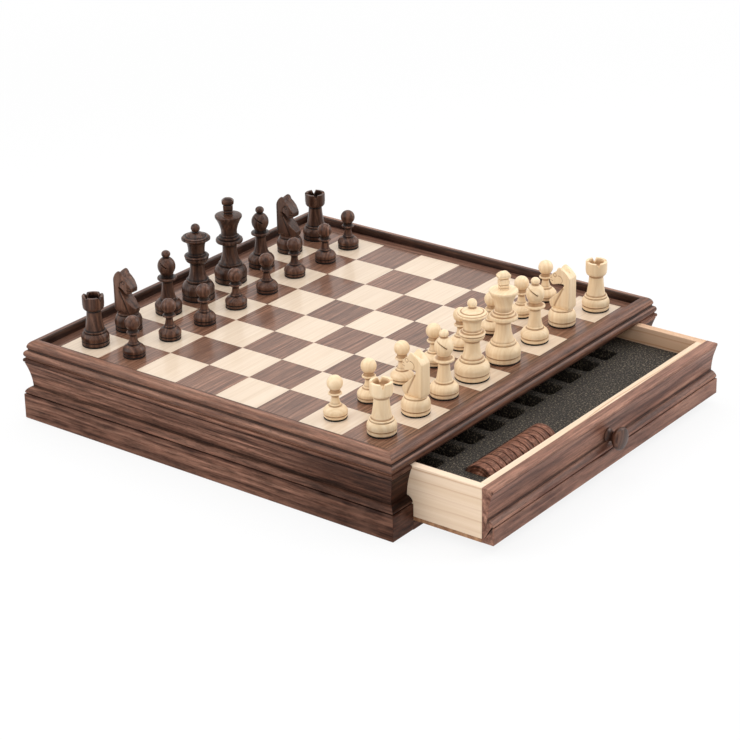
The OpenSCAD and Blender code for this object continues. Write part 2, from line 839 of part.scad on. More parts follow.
// ---- nodes -------------------------------------------------------------------------

base_panel();
left_side_rail();
right_side_rail();
bottom_rails();
corner_stiles();
top_frame();
drawer_guides();
centre_divider();
playing_board();
border_veneer();
light_squares();
dark_squares();
for (side = ["front", "rear"], part = DRAWER_PARTS)
    drawer_part(side, part);
for (p = PIECES)
    chess_piece(p);
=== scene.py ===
"""Looks of the chess box: finishes, fine meshes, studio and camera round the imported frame."""

import math
import random
from functools import partialmethod

import bmesh
import bpy
import numpy as np
from mathutils import Matrix, Vector


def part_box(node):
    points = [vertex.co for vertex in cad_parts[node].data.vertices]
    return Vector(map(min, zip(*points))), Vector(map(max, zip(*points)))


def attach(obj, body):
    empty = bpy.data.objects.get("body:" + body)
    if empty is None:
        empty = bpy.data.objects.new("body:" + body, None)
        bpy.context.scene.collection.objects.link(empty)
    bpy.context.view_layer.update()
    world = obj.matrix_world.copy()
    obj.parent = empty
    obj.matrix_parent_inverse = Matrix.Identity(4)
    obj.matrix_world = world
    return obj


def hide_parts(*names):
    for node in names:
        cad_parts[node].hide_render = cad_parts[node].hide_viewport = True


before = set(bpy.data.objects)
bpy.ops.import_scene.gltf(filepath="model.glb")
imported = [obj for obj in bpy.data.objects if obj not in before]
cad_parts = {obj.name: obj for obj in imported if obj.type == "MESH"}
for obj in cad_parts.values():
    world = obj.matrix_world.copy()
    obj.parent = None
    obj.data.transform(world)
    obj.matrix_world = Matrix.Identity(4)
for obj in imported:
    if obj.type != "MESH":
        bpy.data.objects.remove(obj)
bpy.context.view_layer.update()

MM = 0.001

# ---- sizes in millimetres, from the frame or repeated from the part's source ----


def size_of(node):
    """Lowest and highest corner of a CAD node, in millimetres."""
    low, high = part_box(node)
    return low / MM, high / MM


CASE_HALF, RAIL_H = size_of("left_side_rail")[1].yz
FRAME_TOP = size_of("top_frame")[1].z
BOARD_LOW = size_of("playing_board")[0].z
BOARD_TOP, BOARD_Z = (corner.z for corner in size_of("light_squares"))
GRID_HALF = size_of("light_squares")[1].x
SQUARE = 2 * GRID_HALF / 8
OPENING_HALF = size_of("bottom_rails")[1].x
RAIL_T = CASE_HALF - size_of("base_panel")[1].x

# the case moulding, from the floor up
BLOCK_H = 22.3
KERF_H = 0.9
KERF_D = 2.2
LEDGE_H = 5.2
LEDGE_BULGE = 1.1
COVE_D = 5.9
COVE_HOLLOW = 0.9
COVE_HEAD_D = 1.7
COVE_HEAD_GAP = 0.5
RAIL_BEAD_H = 3.2
RAIL_BEAD_SET = 1.2
RAIL_BEAD_OUT = 0.35
RAIL_TOP_SET = 2
QUIRK = 0.2
QUIRK_SET = 2.3
EDGE_R = 0.8

# the top frame
FRAME_SET = 3
SOLE_OUT = 0.4
BEAD_H = 7.2
BEAD_OUT = 2.3
FRAME_GROOVE_H = 1.1
FRAME_GROOVE_D = 1.2
NOSING_R = 5
NOSING_QUIRK = 0.6
GROOVE_D = 3
# width of the dark line along the frame's inner top edge
DARK_LINE_W = 1.2

# the drawers
FACE_END_R = 0.3
SIDE_EDGE_R = 0.6
BOARD_EDGE_R = 0.5
KNOB_L = 15
TENON_D = 6
TENON_EDGE = 0.3
FOAM_VOXEL = 1.5
FOAM_SINK = 0.12
FOAM_ROUGH = 0.16
DRAUGHT_N = 12
DRAUGHT_GAP = 0.1
DRAUGHT_RING = 0.5
DRAUGHT_R = 1.2
DRAUGHT_RIM_DARK_W = 0.45

# the chess pieces, some as shares of their height
FELT_T = 1.1
FELT_SET = 0.3
GROOVE_R = 0.2
ROOK_FLOOR = 0.88
NOTCH_FLOOR = 0.91
NOTCH_SLOPE = 2.2
KING_STAND = 0.805
HORSE_Z = 14.6
HORSE_VOXEL = 0.45

# how the pieces that aren't round were turned when they were set down, in degrees
TURNS = {"b1": -4, "c1": 130, "e1": -35, "f1": 125,
         "a8": 40, "b8": 180, "c8": 115, "e8": -50, "f8": 130, "g8": 180}

# gap at a glued joint
GLUE = 0.02

# rounding of corners that turn by SHARP degrees or more, and of a moulding's ends: each end ring
# has come so far and is drawn in so much, as shares of END_R
MOULDED_R, TURNED_R, SHARP, CORNER_STEPS = 0.25, 0.12, 24, 3
END_R, END_RINGS = 0.18, ((0, 0.9), (0.35, 0.35), (1, 0))

# bulge of a quarter circle as a share of its radius
QUARTER = 0.29

# how far from a corner dirt, painted shade and wear reach, then how far off a groove's banks may
# lie, where its dirt and painted shade start, how much deeper it is black, and how far that spreads
MOULDED_REACH, TURNED_REACH = 1.2, 0.9
BANK_REACH, GROOVE_FROM, GROOVE_OVER, GROOVE_SPREAD = 1.3, 0.05, 0.3, 0.8
# then no darkening, the slight darkening of the frame's bead, and the painted shade on the ledge:
# its strength, how far back it starts and how far above the kerf
UNDARKENED, BEAD_DARKENING, LEDGE_SHADE, LEDGE_SHADE_D, LEDGE_SHADE_FROM = -1.0, 0.12, 0.3, 0.9, 0.6

# half the length and width of the log that boards are cut from
LOG_L, LOG_W = 3000, 60

# tones run from -1 to 1, and painted shade from -1 down to -3. In the left rail the painted shade
# grows from the second number over the third to the fourth; the last is the tone of a drawer's
# shaded side board
SHADE_STEPS, SHADE_FROM, SHADE_OVER, RAIL_SHADE, SHADED_SIDE = 12, 70, 40, 0.8, -2.6

# ---- curves ----


def bow(a, b, bulge, steps=12):
    """Points after a, up to and with b, on the arc whose middle stands off the chord by bulge."""
    a, b = Vector(a), Vector(b)
    chord = b - a
    along = chord.normalized()
    out = Vector((along.y, -along.x))
    r = (chord.length_squared / 4 + bulge * bulge) / (2 * bulge)
    half = math.asin(chord.length / (2 * r))
    centre = (a + b) / 2 + out * (bulge - r)
    turns = [half * (2 * i / steps - 1) for i in range(1, steps + 1)]
    return [tuple(centre + r * (math.cos(t) * out + math.sin(t) * along)) for t in turns]


def ball(r, top, from_r, round_share=1, steps=20):
    """A turned ball that ends at height top, from where it is from_r wide."""
    start = -math.acos(from_r / r)
    turns = [start + (math.pi / 2 - start) * i / steps for i in range(steps + 1)]
    return [(r * math.cos(t) if i < steps else 0, top + round_share * r * (math.sin(t) - 1))
            for i, t in enumerate(turns)]


def softened(points, radius, closed):
    """The outline with each sharp corner rounded off."""
    points = [Vector(p) for p in points]
    made = []
    for i, p in enumerate(points):
        before, after = points[i - 1] - p, points[(i + 1) % len(points)] - p
        at_end = not closed and i in (0, len(points) - 1)
        if at_end or math.degrees(before.angle(-after, 0)) < SHARP:
            made.append(p)
            continue
        reach = min(radius, 0.4 * before.length, 0.4 * after.length)
        a, b = p + before.normalized() * reach, p + after.normalized() * reach
        for k in range(CORNER_STEPS + 1):
            t = k / CORNER_STEPS
            made.append(a * (1 - t) ** 2 + 2 * p * t * (1 - t) + b * t * t)
    return made


def hollows(points, closed, reach):
    """For each point of an outline, how hollow it is there: 1 in a quirk, -1 on an edge."""
    turn = []
    for i, p in enumerate(points):
        a, b = p - points[i - 1], points[(i + 1) % len(points)] - p
        at_end = not closed and i in (0, len(points) - 1)
        turn.append(0 if at_end else math.atan2(a.x * b.y - a.y * b.x, a.dot(b)))
    spread = []
    for p in points:
        near = [t * math.exp(-((p - q).length / reach) ** 2) for q, t in zip(points, turn)]
        spread.append(max(-1, min(1, -sum(near))))
    return spread


def grooves(points):
    """For each point of a turned outline, how deep in a groove it is: 0 to 1."""
    deep = []
    for i, p in enumerate(points):
        banks = []
        for others in (points[i + 1:], points[:i][::-1]):
            bank = 0
            for q in others:
                if (q - p).length > BANK_REACH:
                    break
                bank = max(bank, q.x)
            banks.append(bank)
        deep.append(max(0, min(1, (min(banks) - p.x - GROOVE_FROM) / GROOVE_OVER)))
    return [max(d * max(0, 1 - (p - q).length / GROOVE_SPREAD) for q, d in zip(points, deep))
            for p in points]


# ---- meshes ----


def linked(name, data):
    """A new object with this data, in the scene."""
    made = bpy.data.objects.new(name, data)
    bpy.context.scene.collection.objects.link(made)
    return made


def mesh_object(name, points, faces):
    """A smooth object in metres from points in millimetres."""
    data = bpy.data.meshes.new(name)
    data.from_pydata([tuple(c * MM for c in p) for p in points], [], faces)
    data.validate()
    data.shade_smooth()
    return linked(name, data)


def finish_piece(piece, body, node, slot, *materials):
    """The piece stands for its node, rides on its body and wears its materials."""
    for material in materials:
        piece.data.materials.append(material)
    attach(piece, body)
    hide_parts(node)


class Shape:
    """Points, faces and wood facts of a piece that is made of several solids."""

    def __init__(self):
        self.points, self.faces, self.groups = [], [], []
        self.grain, self.wear, self.tone = [], [], []

    def add(self, points, faces, grain, wear, rng, tone=None, group=0):
        tone = rng.uniform(-1, 1) if tone is None else tone
        start = len(self.points)
        self.points += points
        self.faces += [[i + start for i in f] for f in faces]
        self.grain += grain
        self.wear += wear
        self.tone += tone if isinstance(tone, list) else [tone] * len(points)
        self.groups += [group] * len(faces)

    def made(self, name):
        """The object, with its wood facts, and with normals that keep flat faces flat."""
        piece = mesh_object(name, self.points, self.faces)
        layer = piece.data.attributes.new("grain", "FLOAT_VECTOR", "POINT")
        layer.data.foreach_set("vector", (np.array(self.grain, float) * MM).ravel())
        for label, values in (("wear", self.wear), ("tone", self.tone)):
            layer = piece.data.attributes.new(label, "FLOAT", "POINT")
            layer.data.foreach_set("value", np.array(values, float))
        piece.data.polygons.foreach_set("material_index", self.groups)
        modifier = piece.modifiers.new("normals", "WEIGHTED_NORMAL")
        modifier.weight = 60
        modifier.keep_sharp = False
        return piece


def turned(degrees, axis="Z"):
    return Matrix.Rotation(math.radians(degrees), 4, axis)


def somewhere(rng):
    """A random place in the log that a board was cut from."""
    return Vector([rng.uniform(-half, half) for half in (LOG_L, LOG_W, LOG_W)])


def loft(rings):
    """Faces between equal rings, with a face over the first and the last."""
    n = len(rings[0])
    faces = [[k * n + i, k * n + (i + 1) % n, (k + 1) * n + (i + 1) % n, (k + 1) * n + i]
             for k in range(len(rings) - 1) for i in range(n)]
    return faces + [list(range(n))[::-1], [(len(rings) - 1) * n + i for i in range(n)]]


def at(x):
    """A square end, at x."""
    return lambda depth: x


def mitre(way):
    """The end of a length that is mitred at a case corner."""
    return lambda depth: way * (CASE_HALF - depth - GLUE)


def undarkened(p):
    return UNDARKENED


def add_moulding(shape, section, low_end, high_end, turn, rng, end_r=END_R, dirt_and_shade=undarkened, painted_shade=None):
    """A length of moulding on the side that turn says. Its ends are functions of the depth.
    Painted shade says, by the place along it, how much of it is in painted shade."""
    outline = softened(section, MOULDED_R, True)
    # hollows take dirt and painted shade, and edges take wear
    wear = [max(w, dirt_and_shade(p)) for p, w in zip(outline, hollows(outline, True, MOULDED_REACH))]
    n = len(outline)
    inward = []
    for i in range(n):
        way = (outline[(i + 1) % n] - outline[i - 1]).normalized()
        inward.append(Vector((-way.y, way.x)))
    cut, spin = somewhere(rng), turned(turn)
    between = [] if painted_shade is None else [i / SHADE_STEPS for i in range(1, SHADE_STEPS)]
    rings = ([(0, a, b) for a, b in END_RINGS] + [(share, 0, 0) for share in between]
             + [(1, -a, b) for a, b in END_RINGS[::-1]])
    points, grain, along = [], [], []
    for share, advance, shrink in rings:
        for p, q in zip(outline, inward):
            place = p + q * shrink * end_r
            depth = -place.x
            x = low_end(depth) * (1 - share) + high_end(depth) * share + advance * end_r
            points.append(spin @ Vector((x, depth - CASE_HALF, place.y)))
            grain.append(Vector((x, place.x, place.y)) + cut)
            along.append(x)
    grouped = [points[k * n:(k + 1) * n] for k in range(len(rings))]
    tone = rng.uniform(-1, 1)
    # painted shade pulls the tone down, as far as -3 where it is full
    if painted_shade is not None:
        tone = [tone * (1 - painted_shade(x)) - 3 * painted_shade(x) for x in along]
    shape.add(points, loft(grouped), grain, wear * len(rings), rng, tone)


def add_plank(shape, low, high, rng, edge=BOARD_EDGE_R, tone=None):
    """A planed board with rounded edges. Its grain runs along its longest side."""
    size = high - low
    axis = max(range(3), key=lambda i: size[i])
    cube = bmesh.new()
    bmesh.ops.create_cube(cube, size=1)
    for v in cube.verts:
        v.co = Vector([low[i] + (v.co[i] + 0.5) * size[i] for i in range(3)])
    bmesh.ops.bevel(cube, geom=cube.edges[:], offset=edge, segments=3, profile=0.5,
                    affect="EDGES")
    cube.verts.index_update()
    across = [i for i in range(3) if i != axis]
    cut = somewhere(rng)
    points = [v.co.copy() for v in cube.verts]
    grain = [Vector((p[axis], p[across[0]], p[across[1]])) + cut for p in points]
    shape.add(points, [[v.index for v in f.verts] for f in cube.faces], grain,
              [0.0] * len(points), rng, tone)
    cube.free()


def add_turned(shape, profile, rng, place, segments=96, group=0, along="z", carve=None,
               dirt_and_shade=undarkened, tone=None):
    """A turned solid: the profile's points are (radius, height), from the axis round to the axis.
    A carving moves its points and says how hollow they are. Along is the way of the grain."""
    outline = softened(profile, TURNED_R, False)
    hollow_at = hollows(outline, False, TURNED_REACH)
    # hollows and grooves take dirt and painted shade, and edges take wear
    wear_of = [max(w, g, dirt_and_shade(p)) for p, w, g in zip(outline, hollow_at, grooves(outline))]
    cut = somewhere(rng)
    spin = rng.uniform(0, 2 * math.pi)
    points, grain, wear, rings = [], [], [], []
    for p, w in zip(outline, wear_of):
        count = 1 if p.x < 1e-6 else segments
        rings.append(list(range(len(points), len(points) + count)))
        for i in range(count):
            t = 2 * math.pi * i / segments
            q = Vector((p.x * math.cos(t), p.x * math.sin(t), p.y))
            hollow = w
            if carve is not None:
                q, cut_in = carve(q)
                hollow = max(w, cut_in)
            points.append(place @ q)
            x, y, z = p.x * math.cos(t + spin), p.x * math.sin(t + spin), p.y
            grain.append(Vector((z, x, y) if along == "z" else (x, z, y)) + cut)
            wear.append(hollow)
    faces = []
    for low, high in zip(rings, rings[1:]):
        for i in range(segments):
            j = (i + 1) % segments
            face = list(dict.fromkeys((low[i % len(low)], low[j % len(low)],
                                       high[j % len(high)], high[i % len(high)])))
            if len(face) > 2:
                faces.append(face)
    shape.add(points, faces, grain, wear, rng, tone, group)


def copy_of(node, name):
    """A new object with a CAD node's mesh, merged, to be remeshed."""
    data = bpy.data.meshes.new(name)
    work = bmesh.new()
    work.from_mesh(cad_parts[node].data)
    bmesh.ops.remove_doubles(work, verts=work.verts[:], dist=1e-6)
    work.to_mesh(data)
    work.free()
    return linked(name, data)


def remesh(piece, voxel, smoothing=0):
    """Gives a copied piece a fine and even mesh."""
    modifier = piece.modifiers.new("remesh", "REMESH")
    modifier.mode = "VOXEL"
    modifier.voxel_size = voxel
    if smoothing:
        piece.modifiers.new("smooth", "SMOOTH").iterations = smoothing
    graph = bpy.context.evaluated_depsgraph_get()
    data = bpy.data.meshes.new_from_object(piece.evaluated_get(graph))
    piece.modifiers.clear()
    old, piece.data = piece.data, data
    data.name = piece.name
    bpy.data.meshes.remove(old)


def each_vertex(data, what):
    """The place (co) or normal of each vertex, as rows."""
    rows = np.zeros(len(data.vertices) * 3)
    data.vertices.foreach_get(what, rows)
    return rows.reshape(-1, 3)


# ---- shader nodes ----


class Nodes:
    """Nodes of a material or world, as calls that take sockets or plain values."""

    def __init__(self, owner):
        owner.use_nodes = True
        self.owner, self.tree = owner, owner.node_tree
        self.tree.nodes.clear()

    def add(self, kind, inputs=(), **settings):
        made = self.tree.nodes.new("ShaderNode" + kind)
        for key, value in settings.items():
            setattr(made, key, value)
        for key, value in dict(inputs).items():
            self.put(made.inputs[key], value)
        return made

    def put(self, socket, value):
        if isinstance(value, bpy.types.NodeSocket):
            self.tree.links.new(value, socket)
        else:
            socket.default_value = value

    def math(self, operation, a, b=0.0):
        return self.add("Math", {0: a, 1: b}, operation=operation).outputs[0]

    plus = partialmethod(math, "ADD")
    minus = partialmethod(math, "SUBTRACT")
    times = partialmethod(math, "MULTIPLY")
    larger = partialmethod(math, "MAXIMUM")
    absolute = partialmethod(math, "ABSOLUTE")

    def place(self):
        return self.add("TexCoord").outputs["Object"]

    def parts(self, vector):
        return self.add("SeparateXYZ", {0: vector}).outputs

    def joined(self, x, y, z):
        return self.add("CombineXYZ", {0: x, 1: y, 2: z}).outputs[0]

    def noise(self, vector, scale=1.0, detail=3.0, roughness=0.5, distortion=0.0):
        return self.add("TexNoise", {"Vector": vector, "Scale": scale, "Detail": detail,
                                     "Roughness": roughness, "Distortion": distortion}).outputs[0]

    def noise_1d(self, w, detail):
        return self.add("TexNoise", {"W": w, "Scale": 1.0, "Detail": detail},
                        noise_dimensions="1D").outputs[0]

    def fibrous(self, grain, fineness, **settings):
        """Noise with one fineness along the grain and another across it."""
        along, across = fineness
        drawn_out = self.add("VectorMath", {0: grain, 1: (along, across, across)},
                             operation="MULTIPLY").outputs[0]
        return self.noise(drawn_out, **settings)

    def span(self, value, from_low, from_high, to_low=0.0, to_high=1.0):
        return self.add("MapRange", {0: value, 1: from_low, 2: from_high,
                                     3: to_low, 4: to_high}).outputs[0]

    def mix(self, share, a, b, blend="MIX"):
        made = self.add("Mix", data_type="RGBA", blend_type=blend)
        for socket, value in ((0, share), (6, a), (7, b)):
            self.put(made.inputs[socket], value)
        return made.outputs[2]

    def shaded(self, colour, value):
        """The colour multiplied by a value."""
        return self.mix(1.0, colour, self.joined(value, value, value), "MULTIPLY")

    def ramp(self, value, *stops):
        """A colour for each value, from three stops."""
        made = self.add("ValToRGB", {0: value})
        made.color_ramp.elements.new(0.5)
        for element, stop in zip(made.color_ramp.elements, stops):
            element.position, element.color = stop
        return made.outputs[0]

    def attribute(self, name, kind="Fac"):
        return self.add("Attribute", attribute_name=name).outputs[kind]

    def bump(self, height, strength, distance, normal=None):
        made = self.add("Bump", {"Height": height, "Strength": strength, "Distance": distance})
        if normal is not None:
            self.put(made.inputs["Normal"], normal)
        return made.outputs[0]

    def shown(self):
        """1 for the rays of the camera, and for those that a surface mirrors or lets through."""
        path = self.add("LightPath").outputs
        beyond = self.larger(path["Is Glossy Ray"], path["Is Transmission Ray"])
        return self.larger(path["Is Camera Ray"], beyond)

    def surface(self, **inputs):
        shader = self.add("BsdfPrincipled", {k.replace("_", " "): v for k, v in inputs.items()})
        self.add("OutputMaterial", {0: shader.outputs[0]})
        return self.owner


def rgb(r, g, b):
    """A colour written in sRGB, 0 to 255, as the linear colour that Blender takes."""
    return tuple(c / 12.92 / 255 if c <= 10 else ((c / 255 + 0.055) / 1.055) ** 2.4
                 for c in (r, g, b)) + (1,)


# ---- wood ----

# how fine each pattern in the wood is, per metre along the grain and across it
WANDER, CLOUDS, STREAKS = (5, 14), (9, 45), (9, 300)
STRENGTH, FLECKS, FIBRES = (4, 160), (38, 400), (60, 1500)
PORES, PATCHES = (260, 2400), (60, 200)

# in metres: how far rings wander, and where the heart of the log lies from a board's own zero
RING_WANDER = 0.03
LOG_Y, LOG_Z = 0.035, 0.02

# latewood lines per metre, and how many of them they wander by
LINES, LINE_WANDER = 110.0, 1.6

# tool marks of the lathe per metre
LATHE_MARKS = 2600.0


def ringed(n, grain, wander, dark, middle, light, figure, rings):
    """Growth rings round the heart of the log, with streaks along them and dark clouds."""
    _, y, z = n.parts(grain)
    off = n.times(n.minus(wander, 0.5), RING_WANDER * figure)
    radius = n.math("SQRT", n.plus(n.math("POWER", n.plus(n.plus(y, off), LOG_Y), 2.0),
                                   n.math("POWER", n.plus(z, LOG_Z), 2.0)))
    ring = n.noise_1d(n.times(radius, rings), 3)
    streaks = n.fibrous(grain, STREAKS, detail=4, roughness=0.62, distortion=0.4)
    pattern = n.plus(n.times(ring, 0.5), n.times(streaks, 0.5))
    colour = n.ramp(pattern, (0.38, dark), (0.5, middle), (0.62, light))
    clouds = n.fibrous(grain, CLOUDS, detail=2)
    return n.mix(n.span(clouds, 0.35, 0.75, 0, 0.4 * figure), colour, dark)


def latewood(n, grain, wander, share):
    """How much of a latewood line there is: each fades in and ends short."""
    _, y, z = n.parts(grain)
    drift = n.times(n.minus(wander, 0.5), LINE_WANDER)
    growth = n.math("FRACT", n.plus(n.times(n.plus(y, z), LINES), drift))
    late = n.times(n.span(growth, 0.76, 0.93), n.span(growth, 0.93, 0.99, 1.0, 0.0))
    strength = n.fibrous(grain, STRENGTH, detail=1)
    return n.times(late, n.span(strength, 0.35, 0.65, 0.15 * share, share))


def wood(name, dark, middle, light, figure=1.0, pores=0.6, roughness=0.4, rings=260.0, quirk=None,
         painted_shade=None, flecks=0.0, lines=0.0, shine=0.25, coat=0.0, wear_share=0.8, tone_share=0.12,
         lathe=0.0, coordinates=None, drawn=None):
    """Wood in three sRGB colours, with pores, dirt and painted shade in quirk. Painted shade
    multiplies them where the tone is below -1. Coordinates gives grain and tone where the mesh has
    none. Drawn paints over it."""
    n = Nodes(bpy.data.materials.new(name))
    dark, middle, light, quirk = (rgb(*c) for c in (dark, middle, light, quirk or dark))
    if coordinates is None:
        grain, tone = n.attribute("grain", "Vector"), n.attribute("tone")
    else:
        grain, tone = coordinates(n)
    wander = n.fibrous(grain, WANDER)
    fibres = n.fibrous(grain, FIBRES, roughness=0.7)
    colour = ringed(n, grain, wander, dark, middle, light, figure, rings)
    if lines:
        colour = n.mix(latewood(n, grain, wander, lines), colour, quirk)
    if flecks:
        short = n.fibrous(grain, FLECKS, detail=4, roughness=0.66)
        colour = n.shaded(colour, n.span(short, 0.3, 0.7, 1 - flecks, 1 + 0.8 * flecks))
    contrast = 0.16 * figure
    colour = n.shaded(colour, n.span(fibres, 0.25, 0.75, 1 - contrast, 1 + contrast))
    pore = n.span(n.fibrous(grain, PORES, detail=1), 0.58, 0.68)
    colour = n.mix(n.times(pore, 0.6 * pores), colour, quirk)
    colour = n.shaded(colour, n.plus(n.times(n.larger(tone, -1.0), tone_share), 1.0))
    # below a tone of -1 the colour is multiplied by the painted shade colour
    if painted_shade:
        colour = n.mix(n.span(tone, -1.0, -3.0), colour, n.mix(1.0, colour, painted_shade, "MULTIPLY"))
    if coordinates is None:
        # hollows and grooves go towards quirk, as dirt and painted shade, and rubbed edges go light
        wear = n.attribute("wear")
        patchy = n.fibrous(grain, PATCHES)
        dirt_and_shade = n.times(n.span(wear, 0.08, 0.6, 0, wear_share),
                       n.span(patchy, 0.3, 0.6, 0.75, 1.0))
        rubbed = n.times(n.span(wear, -0.25, -0.9, 0, 0.3 * wear_share),
                         n.span(patchy, 0.4, 0.65))
        colour = n.mix(rubbed, n.mix(dirt_and_shade, colour, quirk), light)
    if drawn is not None:
        colour = drawn(n, colour)
    normal = n.bump(n.minus(n.times(fibres, 0.3), pore), 0.12 * pores + 0.03, 0.0004)
    if lathe:
        marks = n.noise_1d(n.times(n.parts(grain)[0], LATHE_MARKS), 2)
        normal = n.bump(marks, lathe, 0.0003, normal)
    return n.surface(Base_Color=colour, Normal=normal, Specular_IOR_Level=shine,
                     Roughness=n.span(fibres, 0.3, 0.7, roughness - 0.04, roughness + 0.06),
                     Coat_Weight=coat, Coat_Roughness=0.14)


def round_the_case(n):
    """Grain that runs round the case, turning at the mitres, from two places in the log."""
    x, y, z = n.parts(n.place())
    side = n.math("GREATER_THAN", n.absolute(x), n.absolute(y))
    front = n.minus(1.0, side)
    along = n.plus(n.times(x, front), n.times(y, side))
    across = n.plus(n.times(y, front), n.times(x, side))
    return n.joined(n.plus(along, n.times(side, 1.7)), across, z), n.minus(side, 0.5)


def border_line(n, colour):
    """The dark glue line between the border and the squares."""
    x, y, _ = n.parts(n.place())
    out = n.larger(n.absolute(x), n.absolute(y))
    line = n.span(out, (GRID_HALF + 0.45) * MM, (GRID_HALF + 0.6) * MM, 0.8, 0.0)
    return n.mix(line, colour, rgb(34, 16, 10))


def in_squares(n):
    """Grain along X that starts afresh, with a tone of its own, in each square of the board."""
    x, y, z = n.parts(n.place())
    column, row = (n.math("FLOOR", n.math("DIVIDE", c, SQUARE * MM)) for c in (x, y))
    chance = n.add("TexWhiteNoise", {"Vector": n.joined(column, row, 0.5)}, noise_dimensions="3D")
    a, b, c = n.parts(chance.outputs["Color"])
    grain = n.joined(n.plus(x, n.times(a, 7.0)), n.plus(y, n.times(b, 0.4)), n.plus(z, 0.02))
    return grain, n.minus(n.times(c, 2.0), 1.0)


def along_axis(axis):
    """Grain along one axis, with no tone."""
    def coordinates(n):
        parts = n.parts(n.place())
        return n.joined(*[parts[i] for i in sorted(range(3), key=lambda i: i != axis)]), 0.0
    return coordinates


# its painted shade colour darkens the near end of the left rail and the stile beside the drawer
WALNUT = wood(
    "walnut", (64, 39, 30), (115, 80, 65), (150, 110, 92), quirk=(20, 9, 5),
    painted_shade=(0.28, 0.2, 0.16, 1), flecks=0.7, shine=0.08, tone_share=0.06)
WALNUT_FACE = wood(
    "walnut_face", (86, 53, 42), (133, 93, 77), (165, 123, 103), quirk=(24, 10, 6),
    figure=1.2, flecks=0.4, rings=150.0, shine=0.2)
WALNUT_FRAME = wood(
    "walnut_frame", (70, 41, 30), (114, 77, 60), (150, 110, 90), quirk=(20, 8, 5), flecks=0.5,
    roughness=0.38, shine=0.24, tone_share=0.06)
WALNUT_BORDER = wood(
    "walnut_border", (80, 51, 39), (117, 82, 66), (144, 107, 89), quirk=(40, 20, 13),
    flecks=0.35, coat=0.4, coordinates=round_the_case, drawn=border_line)
VENEER = dict(rings=700.0, roughness=0.45, coat=0.6, coordinates=in_squares)
WALNUT_SQUARES = wood(
    "walnut_squares", (90, 58, 43), (123, 86, 66), (146, 106, 84), quirk=(44, 24, 16),
    figure=0.7, flecks=0.4, tone_share=0.1, **VENEER)
MAPLE = wood(
    "maple", (214, 192, 167), (220, 199, 176), (224, 205, 183), figure=0.15, pores=0.04,
    flecks=0.03, tone_share=0.02, **VENEER)
WALNUT_KNOB = wood(
    "walnut_knob", (54, 31, 22), (86, 56, 42), (112, 78, 62), quirk=(22, 10, 7), flecks=0.35,
    roughness=0.36, shine=0.3, lathe=0.05)
PLYWOOD = wood(
    "plywood", (128, 88, 62), (160, 118, 86), (184, 142, 106), pores=0.3, rings=120.0,
    roughness=0.6, shine=0.3, coordinates=along_axis(0))
BOXWOOD = wood(
    "boxwood", (232, 203, 163), (238, 211, 173), (242, 218, 183), quirk=(150, 104, 62),
    figure=0.15, pores=0.04, rings=500.0, roughness=0.42, shine=0.35, tone_share=0.02,
    lathe=0.05)
STAINED = wood(
    "stained_walnut", (54, 33, 24), (82, 54, 41), (110, 78, 62), quirk=(10, 4, 3), figure=0.5,
    flecks=0.45, rings=420.0, roughness=0.3, lathe=0.05, tone_share=0.3, wear_share=0.95)
DRAUGHT_DARK = wood(
    "draughts_dark", (88, 53, 40), (124, 81, 63), (152, 108, 88), quirk=(26, 11, 7),
    figure=0.8, flecks=0.5, rings=500.0, roughness=0.5, shine=0.15, tone_share=0.14)
DRAUGHT_LIGHT = wood(
    "draughts_light", (229, 199, 158), (235, 207, 168), (239, 214, 178), quirk=(140, 94, 54),
    figure=0.3, pores=0.06, rings=500.0, roughness=0.45, shine=0.3, tone_share=0.05)
# the painted shade colour darkens a drawer's side board at +X
PINE, PINE_X, PINE_Y = [
    wood(name, (224, 197, 168), (228, 203, 176), (233, 209, 184), quirk=(186, 136, 98),
         painted_shade=(0.84, 0.68, 0.58, 1), figure=0.12, pores=0.05, rings=200.0, lines=0.75,
         roughness=0.55, tone_share=0.03, coordinates=coordinates)
    for name, coordinates in (("pine", None), ("pine_along_x", along_axis(0)),
                              ("pine_along_y", along_axis(1)))]


def foam_material():
    """Open-cell foam: a charcoal net with tiny pale specks painted where its cut ends would catch
    the light, as painted glints.
    """
    n = Nodes(bpy.data.materials.new("foam"))
    place = n.place()
    cells = n.add("TexVoronoi", {"Vector": place, "Scale": 1150.0}, feature="DISTANCE_TO_EDGE")
    glint_specks = n.noise(place, scale=640.0, roughness=0.7)
    clouds = n.noise(place, scale=40.0)
    net = n.span(cells.outputs[0], 0.0, 0.16, 1.0, 0.0)
    colour = n.mix(n.times(net, 0.55), rgb(26, 21, 17), rgb(52, 44, 37))
    # pale specks: painted glints of the cut cell ends
    colour = n.mix(n.span(glint_specks, 0.52, 0.68, 0.0, 0.8), colour, rgb(158, 144, 122))
    return n.surface(Base_Color=n.shaded(colour, n.span(clouds, 0.3, 0.7, 0.85, 1.15)),
                     Roughness=n.span(glint_specks, 0.4, 0.7, 0.8, 1.0),
                     Normal=n.bump(n.plus(net, n.times(glint_specks, 1.5)), 0.6, 0.0006))


def felt_material():
    n = Nodes(bpy.data.materials.new("felt"))
    hairs = n.noise(n.place(), scale=2500.0)
    return n.surface(Base_Color=n.mix(hairs, rgb(10, 9, 9), rgb(34, 31, 30)),
                     Roughness=n.span(hairs, 0.3, 0.7, 0.9, 1.0),
                     Normal=n.bump(hairs, 0.5, 0.0003))


FOAM = foam_material()
FELT = felt_material()


def dress(node, material):
    """Gives a node kept from the CAD its material."""
    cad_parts[node].material_slots[0].material = material


# ---- case ----


